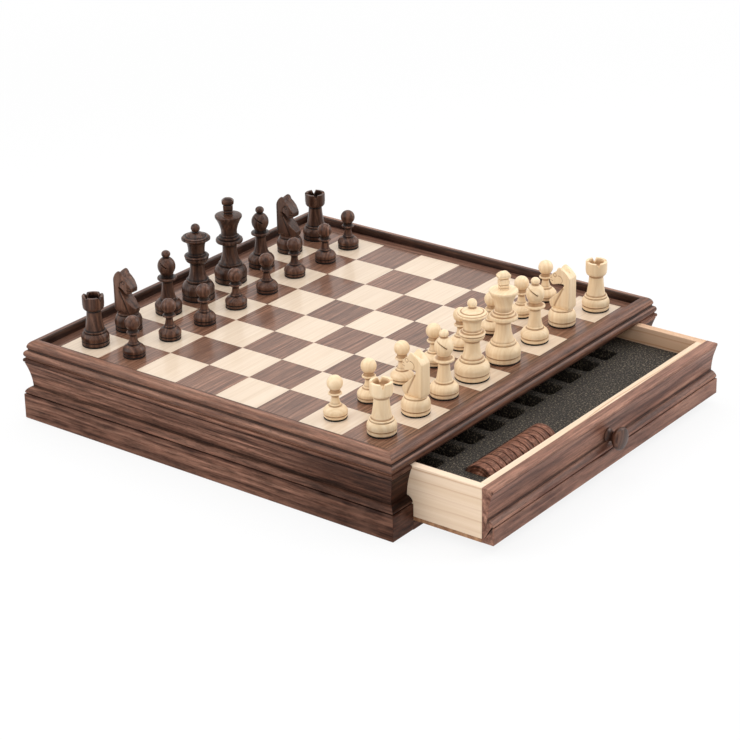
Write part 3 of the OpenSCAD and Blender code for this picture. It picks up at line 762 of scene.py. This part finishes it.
def rail_section(back, low, high):
    """Section of the case moulding: (distance out from the block face, height)."""
    kerf_top = BLOCK_H + KERF_H
    bead_low = RAIL_H - RAIL_BEAD_H
    cove_foot = (-COVE_D, kerf_top + LEDGE_H)
    cove_head = (-COVE_HEAD_D, bead_low - COVE_HEAD_GAP)
    return ([(-back, low), (-EDGE_R, low), (0, low + EDGE_R)]
            + bow((0, BLOCK_H - EDGE_R), (-EDGE_R, BLOCK_H), QUARTER * EDGE_R, 4)
            + [(-KERF_D, BLOCK_H), (-KERF_D, kerf_top), (-EDGE_R, kerf_top)]
            + bow((-EDGE_R / 2, kerf_top + EDGE_R / 2), cove_foot, LEDGE_BULGE)
            + bow(cove_foot, cove_head, -COVE_HOLLOW, 16)
            + [(-QUIRK_SET, bead_low - QUIRK), (-QUIRK_SET, bead_low)]
            + bow((-RAIL_BEAD_SET, bead_low + QUIRK), (-RAIL_BEAD_SET, high - QUIRK),
                  RAIL_BEAD_OUT, 8)
            + [(-RAIL_TOP_SET, high), (-back, high)])


def frame_section(back):
    """Section of the top frame: bead band, groove, nosing, and the groove that holds the board."""
    bead_top = RAIL_H + BEAD_H
    groove_top = bead_top + FRAME_GROOVE_H
    sole = SOLE_OUT - FRAME_SET
    neck = -FRAME_SET - FRAME_GROOVE_D
    nose = neck + EDGE_R
    return ([(-back, RAIL_H), (sole, RAIL_H), (sole, RAIL_H + KERF_H)]
            + bow((-FRAME_SET, RAIL_H + KERF_H), (neck, bead_top), BEAD_OUT, 18)
            + [(neck, groove_top)]
            + bow((nose, groove_top + NOSING_QUIRK), (nose - NOSING_R, FRAME_TOP),
                  QUARTER * NOSING_R)
            + [(-back + DARK_LINE_W + QUIRK, FRAME_TOP), (-back + DARK_LINE_W, FRAME_TOP),
               (-back + EDGE_R, FRAME_TOP), (-back, FRAME_TOP - EDGE_R),
               (-back, BOARD_TOP), (-back + GROOVE_D, BOARD_TOP),
               (-back + GROOVE_D, BOARD_LOW), (-back, BOARD_LOW)])


def frame_shade_and_dark_line(p):
    """Painted shade on the frame's inner wall, a dark line along its inner top edge, and its bead a
    little darker.
    """
    if p.x > -FRAME_SET - 2 * BEAD_OUT and p.y < RAIL_H + BEAD_H:
        return BEAD_DARKENING
    # the inner wall takes painted shade, and the band at its top edge is the dark line
    return 1.0 if p.x < -RAIL_T + DARK_LINE_W + QUIRK / 2 and p.y > BOARD_TOP else UNDARKENED


def ledge_shade(p):
    """Painted shade on the slope of the ledge, stopping short of its edge."""
    foot = BLOCK_H + KERF_H + LEDGE_SHADE_FROM
    return LEDGE_SHADE if foot < p.y < foot + LEDGE_H and p.x < -LEDGE_SHADE_D else UNDARKENED


def rail_painted_shade(x):
    """Painted shade grows over the last third of the left rail, towards its near end, and goes on
    through its stile.
    """
    return RAIL_SHADE * max(0.0, min(1.0, (x - SHADE_FROM) / SHADE_OVER))


def make_moulded(name, node, material, section, dirt_and_shade, seed, lengths):
    """A piece of the case, made of lengths of one moulding."""
    shape, rng = Shape(), random.Random(seed)
    for turn, ends, painted_shade in lengths:
        add_moulding(shape, section, *ends, turn, rng, dirt_and_shade=dirt_and_shade, painted_shade=painted_shade)
    finish_piece(shape.made(name), "case", node, "walnut", material)


def make_case():
    whole = mitre(-1), mitre(1)
    near, far = (mitre(-1), at(-OPENING_HALF)), (at(OPENING_HALF), mitre(1))
    # the rails and stiles take the painted shade on the ledge
    like_the_rail = WALNUT, rail_section(RAIL_T, 0, RAIL_H), ledge_shade
    make_moulded("left_rail", "left_side_rail", *like_the_rail, 11, [(-90, whole, rail_painted_shade)])
    make_moulded("right_rail", "right_side_rail", *like_the_rail, 12, [(90, whole, None)])
    # the first stile, at the front left beside the drawer, is all in painted shade
    make_moulded("stiles", "corner_stiles", *like_the_rail, 21, [
        (0, near, lambda x: 1.0), (0, far, None), (180, near, None), (180, far, None)])
    make_moulded("board_frame", "top_frame", WALNUT_FRAME, frame_section(RAIL_T), frame_shade_and_dark_line, 31,
                 [(turn, whole, None) for turn in (0, 90, 180, 270)])
    rails, rng = Shape(), random.Random(41)
    low, high = size_of("bottom_rails")
    add_plank(rails, low, Vector((high.x, low.y + RAIL_T, high.z)), rng)
    add_plank(rails, Vector((low.x, high.y - RAIL_T, low.z)), high, rng)
    finish_piece(rails.made("foot_rails"), "case", "bottom_rails", "walnut", WALNUT)
    for node, material in (("border_veneer", WALNUT_BORDER), ("dark_squares", WALNUT_SQUARES),
                           ("light_squares", MAPLE), ("playing_board", PLYWOOD),
                           ("base_panel", PLYWOOD), ("drawer_guides", PINE_Y),
                           ("centre_divider", PINE_X)):
        dress(node, material)


# ---- drawers ----


def make_drawer(side, turn, seed, draughts):
    """One drawer, whose face looks towards -Y before it is turned."""
    body = side + "_drawer"

    def node(part):
        return f"{body}_{part}"

    low, high = size_of(node("face"))
    half, pull = high.x, (-low.y if turn == 0 else high.y) - CASE_HALF
    shape, rng = Shape(), random.Random(seed)
    # the drawer face takes the painted shade on the ledge too
    add_moulding(shape, rail_section(high.y - low.y, low.z, high.z), at(-half), at(half), turn,
                 rng, FACE_END_R, ledge_shade)
    shift = turned(turn) @ Vector((0, -pull, 0))
    shape.points = [p + shift for p in shape.points]
    finish_piece(shape.made(body + "_moulded_face"), body, node("face"), "walnut_face",
                 WALNUT_FACE)

    low, high = size_of(node("sides"))
    side_t = half - size_of(node("back"))[1].x
    sides = Shape()
    add_plank(sides, low, Vector((low.x + side_t, high.y, high.z)), rng, SIDE_EDGE_R, 0.0)
    # the board at +X is in painted shade through its tone
    add_plank(sides, Vector((high.x - side_t, low.y, low.z)), high, rng, SIDE_EDGE_R, SHADED_SIDE)
    finish_piece(sides.made(body + "_side_boards"), body, node("sides"), "pine", PINE)
    for part, name in (("inner_front", "front_board"), ("back", "back_board")):
        board = Shape()
        add_plank(board, *size_of(node(part)), rng)
        finish_piece(board.made(f"{body}_{name}"), body, node(part), "pine", PINE)
    dress(node("bottom"), PLYWOOD)
    make_knob(body, node("knob"), turn, rng)
    make_foam(body, node("foam"))
    make_draughts(body, node("draughts"), *draughts, rng)


def make_knob(body, node, turn, rng):
    """A turned knob on its tenon, with its grain across it."""
    low, high = size_of(node)
    r = (high.x - low.x) / 2
    foot_r, foot_l, neck_r, neck_l = 0.6 * r, 0.8, 0.42 * r, 0.4 * KNOB_L
    rim_l, face_r, face_l = KNOB_L - 0.6 * (0.42 * KNOB_L), r - 1.2, KNOB_L - 1
    tenon_l = high.y - low.y - KNOB_L
    profile = ([(0, -tenon_l), (TENON_D / 2 - TENON_EDGE, -tenon_l),
                (TENON_D / 2, -tenon_l + TENON_EDGE), (TENON_D / 2, 0), (foot_r, 0),
                (foot_r, foot_l)]
               + bow((foot_r, foot_l), (neck_r, neck_l), -0.8)
               + bow((neck_r, neck_l), (r, rim_l), 0.9)
               + bow((r, rim_l), (face_r, face_l), 0.3, 6)
               + bow((face_r, face_l), (0, KNOB_L), 0.25))
    profile[-1] = (0, KNOB_L)
    centre = (low + high) / 2
    seat = low.y + KNOB_L if turn == 0 else high.y - KNOB_L
    place = Matrix.Translation((centre.x, seat, centre.z)) @ turned(turn) @ turned(90, "X")
    shape = Shape()
    add_turned(shape, profile, rng, place, along="x")
    finish_piece(shape.made(body + "_turned_knob"), body, node, "walnut_dark", WALNUT_KNOB)


def make_foam(body, node):
    """The foam block, its cut edges gone soft and its skin uneven."""
    piece = copy_of(node, body + "_foam_tray")
    remesh(piece, FOAM_VOXEL * MM)
    data = piece.data
    points, normals = each_vertex(data, "co"), each_vertex(data, "normal")
    chance = np.random.default_rng(5).random((len(points), 1))
    points -= normals * (FOAM_SINK * MM + chance * FOAM_ROUGH * MM)
    data.vertices.foreach_set("co", points.ravel())
    data.shade_smooth()
    finish_piece(piece, body, node, "foam", FOAM)


def make_draughts(body, node, material, slot, rng):
    """Twelve turned discs on edge in their trough, their rims darker near their faces."""
    low, high = size_of(node)
    r = (high.z - low.z) / 2
    t = ((high.x - low.x) - (DRAUGHT_N - 1) * DRAUGHT_GAP) / DRAUGHT_N
    upper = bow((r, t - DRAUGHT_R), (r - DRAUGHT_R, t), QUARTER * DRAUGHT_R, 6) + [
        (share * r, t - depth) for share, depth in
        ((0.78, 0), (0.74, DRAUGHT_RING), (0.6, DRAUGHT_RING), (0.56, 0))]
    lower = [(x, t - z) for x, z in reversed(upper)]
    profile = [(0, 0)] + lower + [(r, DRAUGHT_R), (r, t - DRAUGHT_R)] + upper + [(0, t)]

    # rims darker near the faces, where the discs meet
    def dirt_and_shade(p):
        near_a_face = not DRAUGHT_RIM_DARK_W < p.y < t - DRAUGHT_RIM_DARK_W
        return 1.0 if p.x > r - 1.3 * DRAUGHT_R and near_a_face else UNDARKENED

    shape = Shape()
    centre = (low + high) / 2
    for i in range(DRAUGHT_N):
        place = Matrix.Translation((low.x + i * (t + DRAUGHT_GAP), centre.y, centre.z))
        add_turned(shape, profile, rng, place @ turned(90, "Y"), 72, along="x", dirt_and_shade=dirt_and_shade)
    finish_piece(shape.made(body + "_draught_row"), body, node, slot, material)


# ---- chess pieces ----
# A profile takes a piece's height and its foot's radius, and gives (radius, height) in millimetres.


def foot_top(r, z):
    return z + 0.16 * r


def foot(r, ring, neck, z):
    """The foot that every piece shares, up to its neck, with the underside of its ring at z."""
    g, band, ring_top = GROOVE_R, 0.36 * r, foot_top(r, z)
    return ([(0, FELT_T + GLUE), (r - EDGE_R, FELT_T + GLUE), (r - g, FELT_T + EDGE_R),
             (r - g, band - 0.5), (r - g, band - g), (r - 4 * g, band),
             (r - 4 * g, band + 3 * g), (r - g, band + 4 * g),
             (r, band + 5 * g), (r, band + 6.5 * g), (r, 0.6 * z)]
            + bow((r, 0.6 * z), (1.02 * ring, z), min(0.22 * (r - ring), 0.075 * r), 14)
            + [(0.96 * ring, z + g), (ring, z + 3 * g), (ring, ring_top - 2 * g),
               (ring - 2 * g, ring_top), (neck, ring_top)])


def stemmed(h, r, z, ring, neck, stem, stem_z, hollow, upper):
    """Foot and stem, and what stands on them. z, ring and neck are shares of r, the rest of h."""
    z, neck = z * r, neck * r
    return (foot(r, ring * r, neck, z)
            + bow((neck, foot_top(r, z)), (stem * h, stem_z * h), -hollow * h)
            + [(x * h, y * h) for x, y in upper])


def collar(neck, r, z, tall, g):
    """A thin turned disc with edges of g round the stem, from z up, on a neck of that radius."""
    return (bow((neck, z), (r - 2 * g, z + 0.4 * tall), -0.1 * tall, 6)
            + [(r, z + 0.55 * tall), (r, z + 0.78 * tall), (r - 2 * g, z + tall)])


def pawn(h, r):
    stem, cup, lip = 0.083, 0.115, 1.04 * 0.115
    return stemmed(
        h, r, 1.12, 0.5, 0.43, stem, 0.53, 0.008,
        collar(stem, 0.156, 0.535, 0.07, GROOVE_R / h) + [(lip, 0.61)]
        + bow((lip, 0.61), (cup, 0.68), -0.006, 6) + ball(0.178, 1, cup))


def rook(h, r):
    low, high, rim, well, g = 0.97 * 0.137, 1.08 * 0.137, 0.209, 0.155, GROOVE_R / h
    return stemmed(
        h, r, 0.97, 0.81, 0.7, 0.137, 0.705, 0.008, [(low, 0.71), (high, 0.72)]
        + bow((high, 0.72), (0.97 * rim, 0.8), 0.02, 8)
        + [(rim, 0.83), (rim, 1 - g), (rim - g, 1), (well, 1), (well - 2 * g, ROOK_FLOOR),
           (0, ROOK_FLOOR)])


def bishop(h, r):
    stem, neck = 0.082, 0.092
    return stemmed(
        h, r, 1.03, 0.6, 0.55, stem, 0.51, 0.008,
        collar(stem, 0.15, 0.515, 0.062, GROOVE_R / h)
        + [(neck, 0.585), (neck, 0.625), (1.1 * neck, 0.635), (1.14 * neck, 0.652)]
        + bow((1.14 * neck, 0.652), (0.046, 0.893), 0.058, 64) + ball(0.069, 1, 0.045, 0.84, 14))


def queen(h, r):
    stem, cup, brim, crown = 0.092, 0.106, 0.184, 0.168
    return stemmed(
        h, r, 1.08, 0.7, 0.6, stem, 0.48, 0.013,
        bow((stem, 0.49), (0.145, 0.528), 0.012, 6)
        + [(0.15, 0.536), (0.15, 0.549), (0.14, 0.556), (0.156, 0.565), (0.158, 0.576),
           (0.15, 0.586), (1.12 * cup, 0.592), (1.12 * cup, 0.606), (cup, 0.613)]
        + bow((cup, 0.613), (1.08 * cup, 0.73), -0.004, 8)
        + bow((1.08 * cup, 0.73), (brim, 0.798), -0.014, 8)
        + [(brim, 0.816), (crown, 0.82), (crown, 0.834), (0.15, 0.842), (0.13, 0.838),
           (0.125, 0.848)]
        + bow((0.125, 0.848), (0.04, 0.89), 0.006, 6) + ball(0.0583, 1, 0.036, 1, 14))


def king(h, r):
    stem, cup, crown = 0.083, 0.091, 0.154
    return stemmed(
        h, r, 1.07, 0.72, 0.65, stem, 0.44, 0.014,
        collar(stem, 0.154, 0.45, 0.066, GROOVE_R / h)
        + [(0.12, 0.523), (0.123, 0.53), (0.12, 0.545), (1.08 * cup, 0.55), (1.08 * cup, 0.565),
           (cup, 0.57), (cup, 0.615)]
        + bow((cup, 0.615), (0.97 * crown, 0.765), -0.008)
        + [(crown, 0.773), (crown, 0.79), (0.97 * crown, 0.796)]
        + bow((0.97 * crown, 0.796), (0.066, KING_STAND), 0.003, 6) + [(0, KING_STAND)])


def knight_foot(h, r):
    z = HORSE_Z + EDGE_R - 0.16 * r
    return foot(r, 0.76 * r, 0.7 * r, z) + [(0, foot_top(r, z))]


def notches(h):
    """Carving of a rook: two V-shaped notches run across its rim."""
    def carve(p):
        for turn in (45, 135):
            off = abs(p.x * math.cos(math.radians(turn)) + p.y * math.sin(math.radians(turn)))
            notch = max(ROOK_FLOOR * h, NOTCH_FLOOR * h + NOTCH_SLOPE * off)
            p = Vector((p.x, p.y, min(p.z, notch)))
        return p, UNDARKENED
    return carve


def slit(h):
    """Carving of a bishop: a saw cut runs down into the mitre from one side."""
    start, top, tilt = Vector((-0.035 * h, 0, 0.745 * h)), 0.9 * h, math.radians(32)
    wide, deep = 0.9, 2.4

    def carve(p):
        q = p - start
        along = q.x * math.cos(tilt) + q.z * math.sin(tilt)
        off = q.z * math.cos(tilt) - q.x * math.sin(tilt)
        if along < 0 or not 0 < off < wide or p.z > top:
            return p, UNDARKENED
        share = max(0.0, 1 - deep / max(math.hypot(p.x, p.y), 0.01))
        # the faces of the cut take full dirt and painted shade
        return Vector((p.x * share, p.y * share, p.z)), 1.0
    return carve


PROFILES = {"pawn": pawn, "rook": rook, "bishop": bishop, "queen": queen, "king": king,
            "knight": knight_foot}
CARVINGS = {"rook": notches, "bishop": slit}

# right half of the king's finial, from its foot up: (share of its width, share of its height)
FINIAL = ((0.38, -0.04), (0.38, 0.04), (0.31, 0.07), (0.38, 0.11), (0.39, 0.2), (0.31, 0.24),
          (0.39, 0.29), (0.4, 0.53), (0.29, 0.58), (0.46, 0.66), (0.5, 0.8), (0.36, 0.92),
          (0.2, 1))


def add_finial(shape, h, place, rng):
    """The stepped cross on a king: a block whose width and thickness follow one outline."""
    wide, thick, tall, corner_r = 0.14 * h, 0.09 * h, (1 - KING_STAND) * h, 0.5
    outline = softened([(x * wide, KING_STAND * h + z * tall) for x, z in FINIAL], MOULDED_R,
                       False)
    cut, rings, grain = somewhere(rng), [], []
    for p in outline:
        ring = []
        for quadrant in range(4):
            side = Vector((1 if quadrant in (0, 3) else -1, 1 if quadrant < 2 else -1))
            for step in range(4):
                t = math.radians(90 * quadrant + 30 * step)
                x = side.x * (p.x - corner_r) + corner_r * math.cos(t)
                y = side.y * (p.x * thick / wide - corner_r) + corner_r * math.sin(t)
                ring.append(place @ Vector((x, y, p.y)))
                grain.append(Vector((p.y, x, y)) + cut)
        rings.append(ring)
    wear = [w for w in hollows(outline, False, TURNED_REACH) for _ in rings[0]]
    shape.add([p for ring in rings for p in ring], loft(rings), grain, wear, rng)


def carved_horse(node, place):
    """The horse of a CAD knight as a fine mesh in its own millimetres, cut off at its foot."""
    piece = copy_of(node, node + "_carving")
    work = bmesh.new()
    work.from_mesh(piece.data)
    work.transform(place.inverted() @ Matrix.Scale(1 / MM, 4))
    everything = work.verts[:] + work.edges[:] + work.faces[:]
    cut = bmesh.ops.bisect_plane(work, geom=everything, plane_no=(0, 0, 1), clear_inner=True,
                                 plane_co=(0, 0, HORSE_Z + EDGE_R + GLUE))["geom_cut"]
    bmesh.ops.contextual_create(work, geom=[g for g in cut if isinstance(g, bmesh.types.BMEdge)])
    work.to_mesh(piece.data)
    work.free()
    remesh(piece, HORSE_VOXEL, smoothing=2)
    data = piece.data
    made = (each_vertex(data, "co"), each_vertex(data, "normal"),
            [face.vertices[:] for face in data.polygons],
            np.array([edge.vertices[:] for edge in data.edges]))
    bpy.data.objects.remove(piece)
    bpy.data.meshes.remove(data)
    return made


def near_line(f, z, a, b, width):
    """1 on the line from a to b in the side view, falling to 0 at a distance of width."""
    a, b = np.array(a, float), np.array(b, float)
    way = b - a
    share = np.clip(((f - a[0]) * way[0] + (z - a[1]) * way[1]) / (way @ way), 0, 1)
    distance = np.hypot(f - a[0] - share * way[0], z - a[1] - share * way[1])
    return np.clip(1 - distance / width, 0, 1)


def near_circle(f, z, middle, r, width):
    """1 on a circle in the side view, falling to 0 at a distance of width from it."""
    return np.clip(1 - abs(np.hypot(f - middle[0], z - middle[1]) - r) / width, 0, 1)


def horse_relief(f, z, lean):
    """Depth of the carving in a horse's flanks, f forward and z up. Lean 1 is further back."""
    ear, muzzle, low = -0.2 - 3.6 * lean, 10.4 - 2 * lean, 2.6 * lean
    eye = near_circle(f, z, (ear + 4.6, 44.6 - 0.7 * low), 1.5, 0.6)
    nostril = near_line(f, z, (muzzle - 1.2, 41 - low), (muzzle - 1.9, 41.5 - low), 0.8)
    mouth = near_line(f, z, (muzzle, 38.9 - low), (muzzle - 3.6, 39.1 - low), 0.55)
    cheek = near_circle(f, z, (0.6, 41 - 0.5 * low), 3.6, 0.8) * (f < 1.5)
    shoulder = near_line(f, z, (-3.5, 34), (4.5, 17.5), 2.6) ** 2
    return 0.5 * eye + 0.5 * nostril + 0.5 * mouth + 0.4 * cheek + 0.7 * shoulder


def add_horse(shape, node, place, lean, rng):
    """The carved head of a knight, with dirt and painted shade in its hollows and carved lines, and
    edges rubbed.
    """
    points, normals, faces, edges = carved_horse(node, place)
    on_flank = np.clip(2 * abs(normals[:, 0]) - 0.6, 0, 1)
    depth = horse_relief(points[:, 1], points[:, 2], lean) * on_flank
    points[:, 0] -= np.sign(normals[:, 0]) * depth
    a, b = edges[:, 0], edges[:, 1]
    way = points[b] - points[a]
    way /= np.linalg.norm(way, axis=1, keepdims=True) + 1e-9
    bend, count = np.zeros(len(points)), np.zeros(len(points))
    for i, side in ((a, way), (b, -way)):
        np.add.at(bend, i, (normals[i] * side).sum(1))
        np.add.at(count, i, 1)
    # hollows and carved lines take dirt and painted shade, and edges take wear
    wear = np.clip(2.2 * bend / np.maximum(count, 1) + 0.9 * depth, -1, 1)
    cut = somewhere(rng)
    shape.add([place @ Vector(p) for p in points], faces,
              [Vector((z, x, y)) + cut for x, y, z in points], list(wear), rng)


def make_chess_piece(node, seed):
    """One piece on its felt, turned where it has something that isn't round."""
    colour, kind, square = node.split("_")
    low, high = size_of(node)
    centre = (low + high) / 2
    r, h = (high.x - low.x) / 2, high.z - low.z
    material, slot = (BOXWOOD, "boxwood") if colour == "white" else (STAINED, "stained_walnut")
    shape, rng = Shape(), random.Random(seed)
    place = Matrix.Translation((centre.x, centre.y, low.z)) @ turned(TURNS.get(square, 0))
    felt_r = r - FELT_SET
    felt = [(0, 0), (felt_r - 0.3, 0), (felt_r, 0.3), (felt_r, FELT_T), (0, FELT_T)]
    add_turned(shape, felt, rng, place, group=1)
    carve = CARVINGS[kind](h) if kind in CARVINGS else None
    tone = rng.uniform(0.5, 1) if kind == "pawn" else rng.uniform(-1, 0)
    add_turned(shape, PROFILES[kind](h, r), rng, place, 180 if carve else 96, carve=carve,
               tone=tone)
    if kind == "king":
        add_finial(shape, h, place, rng)
    if kind == "knight":
        add_horse(shape, node, place, 0 if colour == "white" else 1, rng)
    finish_piece(shape.made(f"{colour}_{kind}_{square}_turned"), node, node, slot, material, FELT)


def make_set():
    for seed, node in enumerate(sorted(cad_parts), 100):
        if node.split("_")[0] in ("white", "black"):
            make_chess_piece(node, seed)


# ---- studio ----

# degrees, then how far right, up and back the camera is of the middle of the board, by its own axes
CAMERA_AZIMUTH, CAMERA_ELEVATION, CAMERA_ROLL = -52.543, 24.276, -1.06
CAMERA_OFF = (21.08, -36.64, 2028.3)
CAMERA_LENS, CAMERA_SENSOR, CAMERA_CLIP = 117.98, 36, (0.1, 20)

# half the floor in millimetres, its colour, how white it shows near the box, and the distances
# in metres over which it fades to white
FLOOR_HALF, FLOOR_COLOUR, FLOOR_WHITE, FLOOR_FADE = 12000, (0.85, 0.85, 0.85, 1), 0.85, (0.5, 1.3)

# where the room is brightest, and its light away from there and there
ROOM_BRIGHT_SIDE = (0.6, 0.6, 0.75)
ROOM_LIGHT = (0.24, 0.72)

# place, target and diameter in metres, watts, and whether gloss mirrors it
LAMPS = {"key": ((1.0, -0.9, 0.9), (0.1, -0.2, 0.03), 1.3, 11, True),
         "left": ((-0.9, 0.55, 0.7), (-0.19, 0.05, 0.03), 1.2, 6, True),
         "front": ((-1.2, -1.1, 1.1), (0, 0, 0.04), 1.4, 10, False),
         "top": ((0.2, 0.3, 1.6), (0, 0, 0.05), 1.5, 10, True)}


def make_camera():
    """The view of the photograph."""
    camera = linked("camera", bpy.data.cameras.new("camera"))
    camera.data.lens, camera.data.sensor_width = CAMERA_LENS, CAMERA_SENSOR
    camera.data.clip_start, camera.data.clip_end = CAMERA_CLIP
    look = turned(CAMERA_AZIMUTH) @ turned(90 - CAMERA_ELEVATION, "X") @ turned(CAMERA_ROLL)
    camera.matrix_world = (Matrix.Translation((0, 0, BOARD_Z * MM)) @ look
                           @ Matrix.Translation(Vector(CAMERA_OFF) * MM))
    bpy.context.scene.camera = camera


def make_floor():
    """A pale floor that shows white, with a faint shadow round the box."""
    corners = ((-1, -1), (1, -1), (1, 1), (-1, 1))
    floor = mesh_object("floor", [(x * FLOOR_HALF, y * FLOOR_HALF, 0) for x, y in corners],
                        [[0, 1, 2, 3]])
    n = Nodes(bpy.data.materials.new("floor"))
    plain = n.add("BsdfDiffuse", {"Color": FLOOR_COLOUR}).outputs[0]
    white = n.add("Emission", {"Color": (1, 1, 1, 1), "Strength": 1.0}).outputs[0]
    away = n.add("VectorMath", {0: n.place()}, operation="LENGTH").outputs["Value"]
    share = n.span(away, *FLOOR_FADE, FLOOR_WHITE, 1.0)
    bright = n.add("MixShader", {0: share, 1: plain, 2: white}).outputs[0]
    both = n.add("MixShader", {0: n.shown(), 1: plain, 2: bright}).outputs[0]
    n.add("OutputMaterial", {0: both})
    floor.data.materials.append(n.owner)


def make_world():
    """A room that is seen and mirrored as white, and lights the box from behind and above."""
    n = Nodes(bpy.data.worlds.new("studio"))
    bpy.context.scene.world = n.owner
    way = n.add("TexCoord").outputs["Generated"]
    towards = n.add("VectorMath", {0: way, 1: tuple(Vector(ROOM_BRIGHT_SIDE).normalized())},
                    operation="DOT_PRODUCT").outputs["Value"]
    strength = n.larger(n.span(towards, -0.35, 0.75, *ROOM_LIGHT), n.shown())
    background = n.add("Background", {"Color": (1, 1, 1, 1), "Strength": strength})
    n.add("OutputWorld", {0: background.outputs[0]})


def make_lamps():
    for name, (place, target, size, watts, mirrored) in LAMPS.items():
        lamp = linked(name, bpy.data.lights.new(name, "AREA"))
        lamp.data.shape, lamp.data.size, lamp.data.energy = "DISK", size, watts
        lamp.location, lamp.visible_glossy = place, mirrored
        lamp.rotation_mode = "QUATERNION"
        lamp.rotation_quaternion = (Vector(target) - Vector(place)).to_track_quat("-Z", "Y")


make_camera()
make_floor()
make_world()
make_lamps()
make_case()
make_drawer("front", 0, 51, (DRAUGHT_DARK, "draughts_dark"))
make_drawer("rear", 180, 61, (DRAUGHT_LIGHT, "draughts_light"))
make_set()

bpy.context.scene.view_settings.view_transform = "Standard"
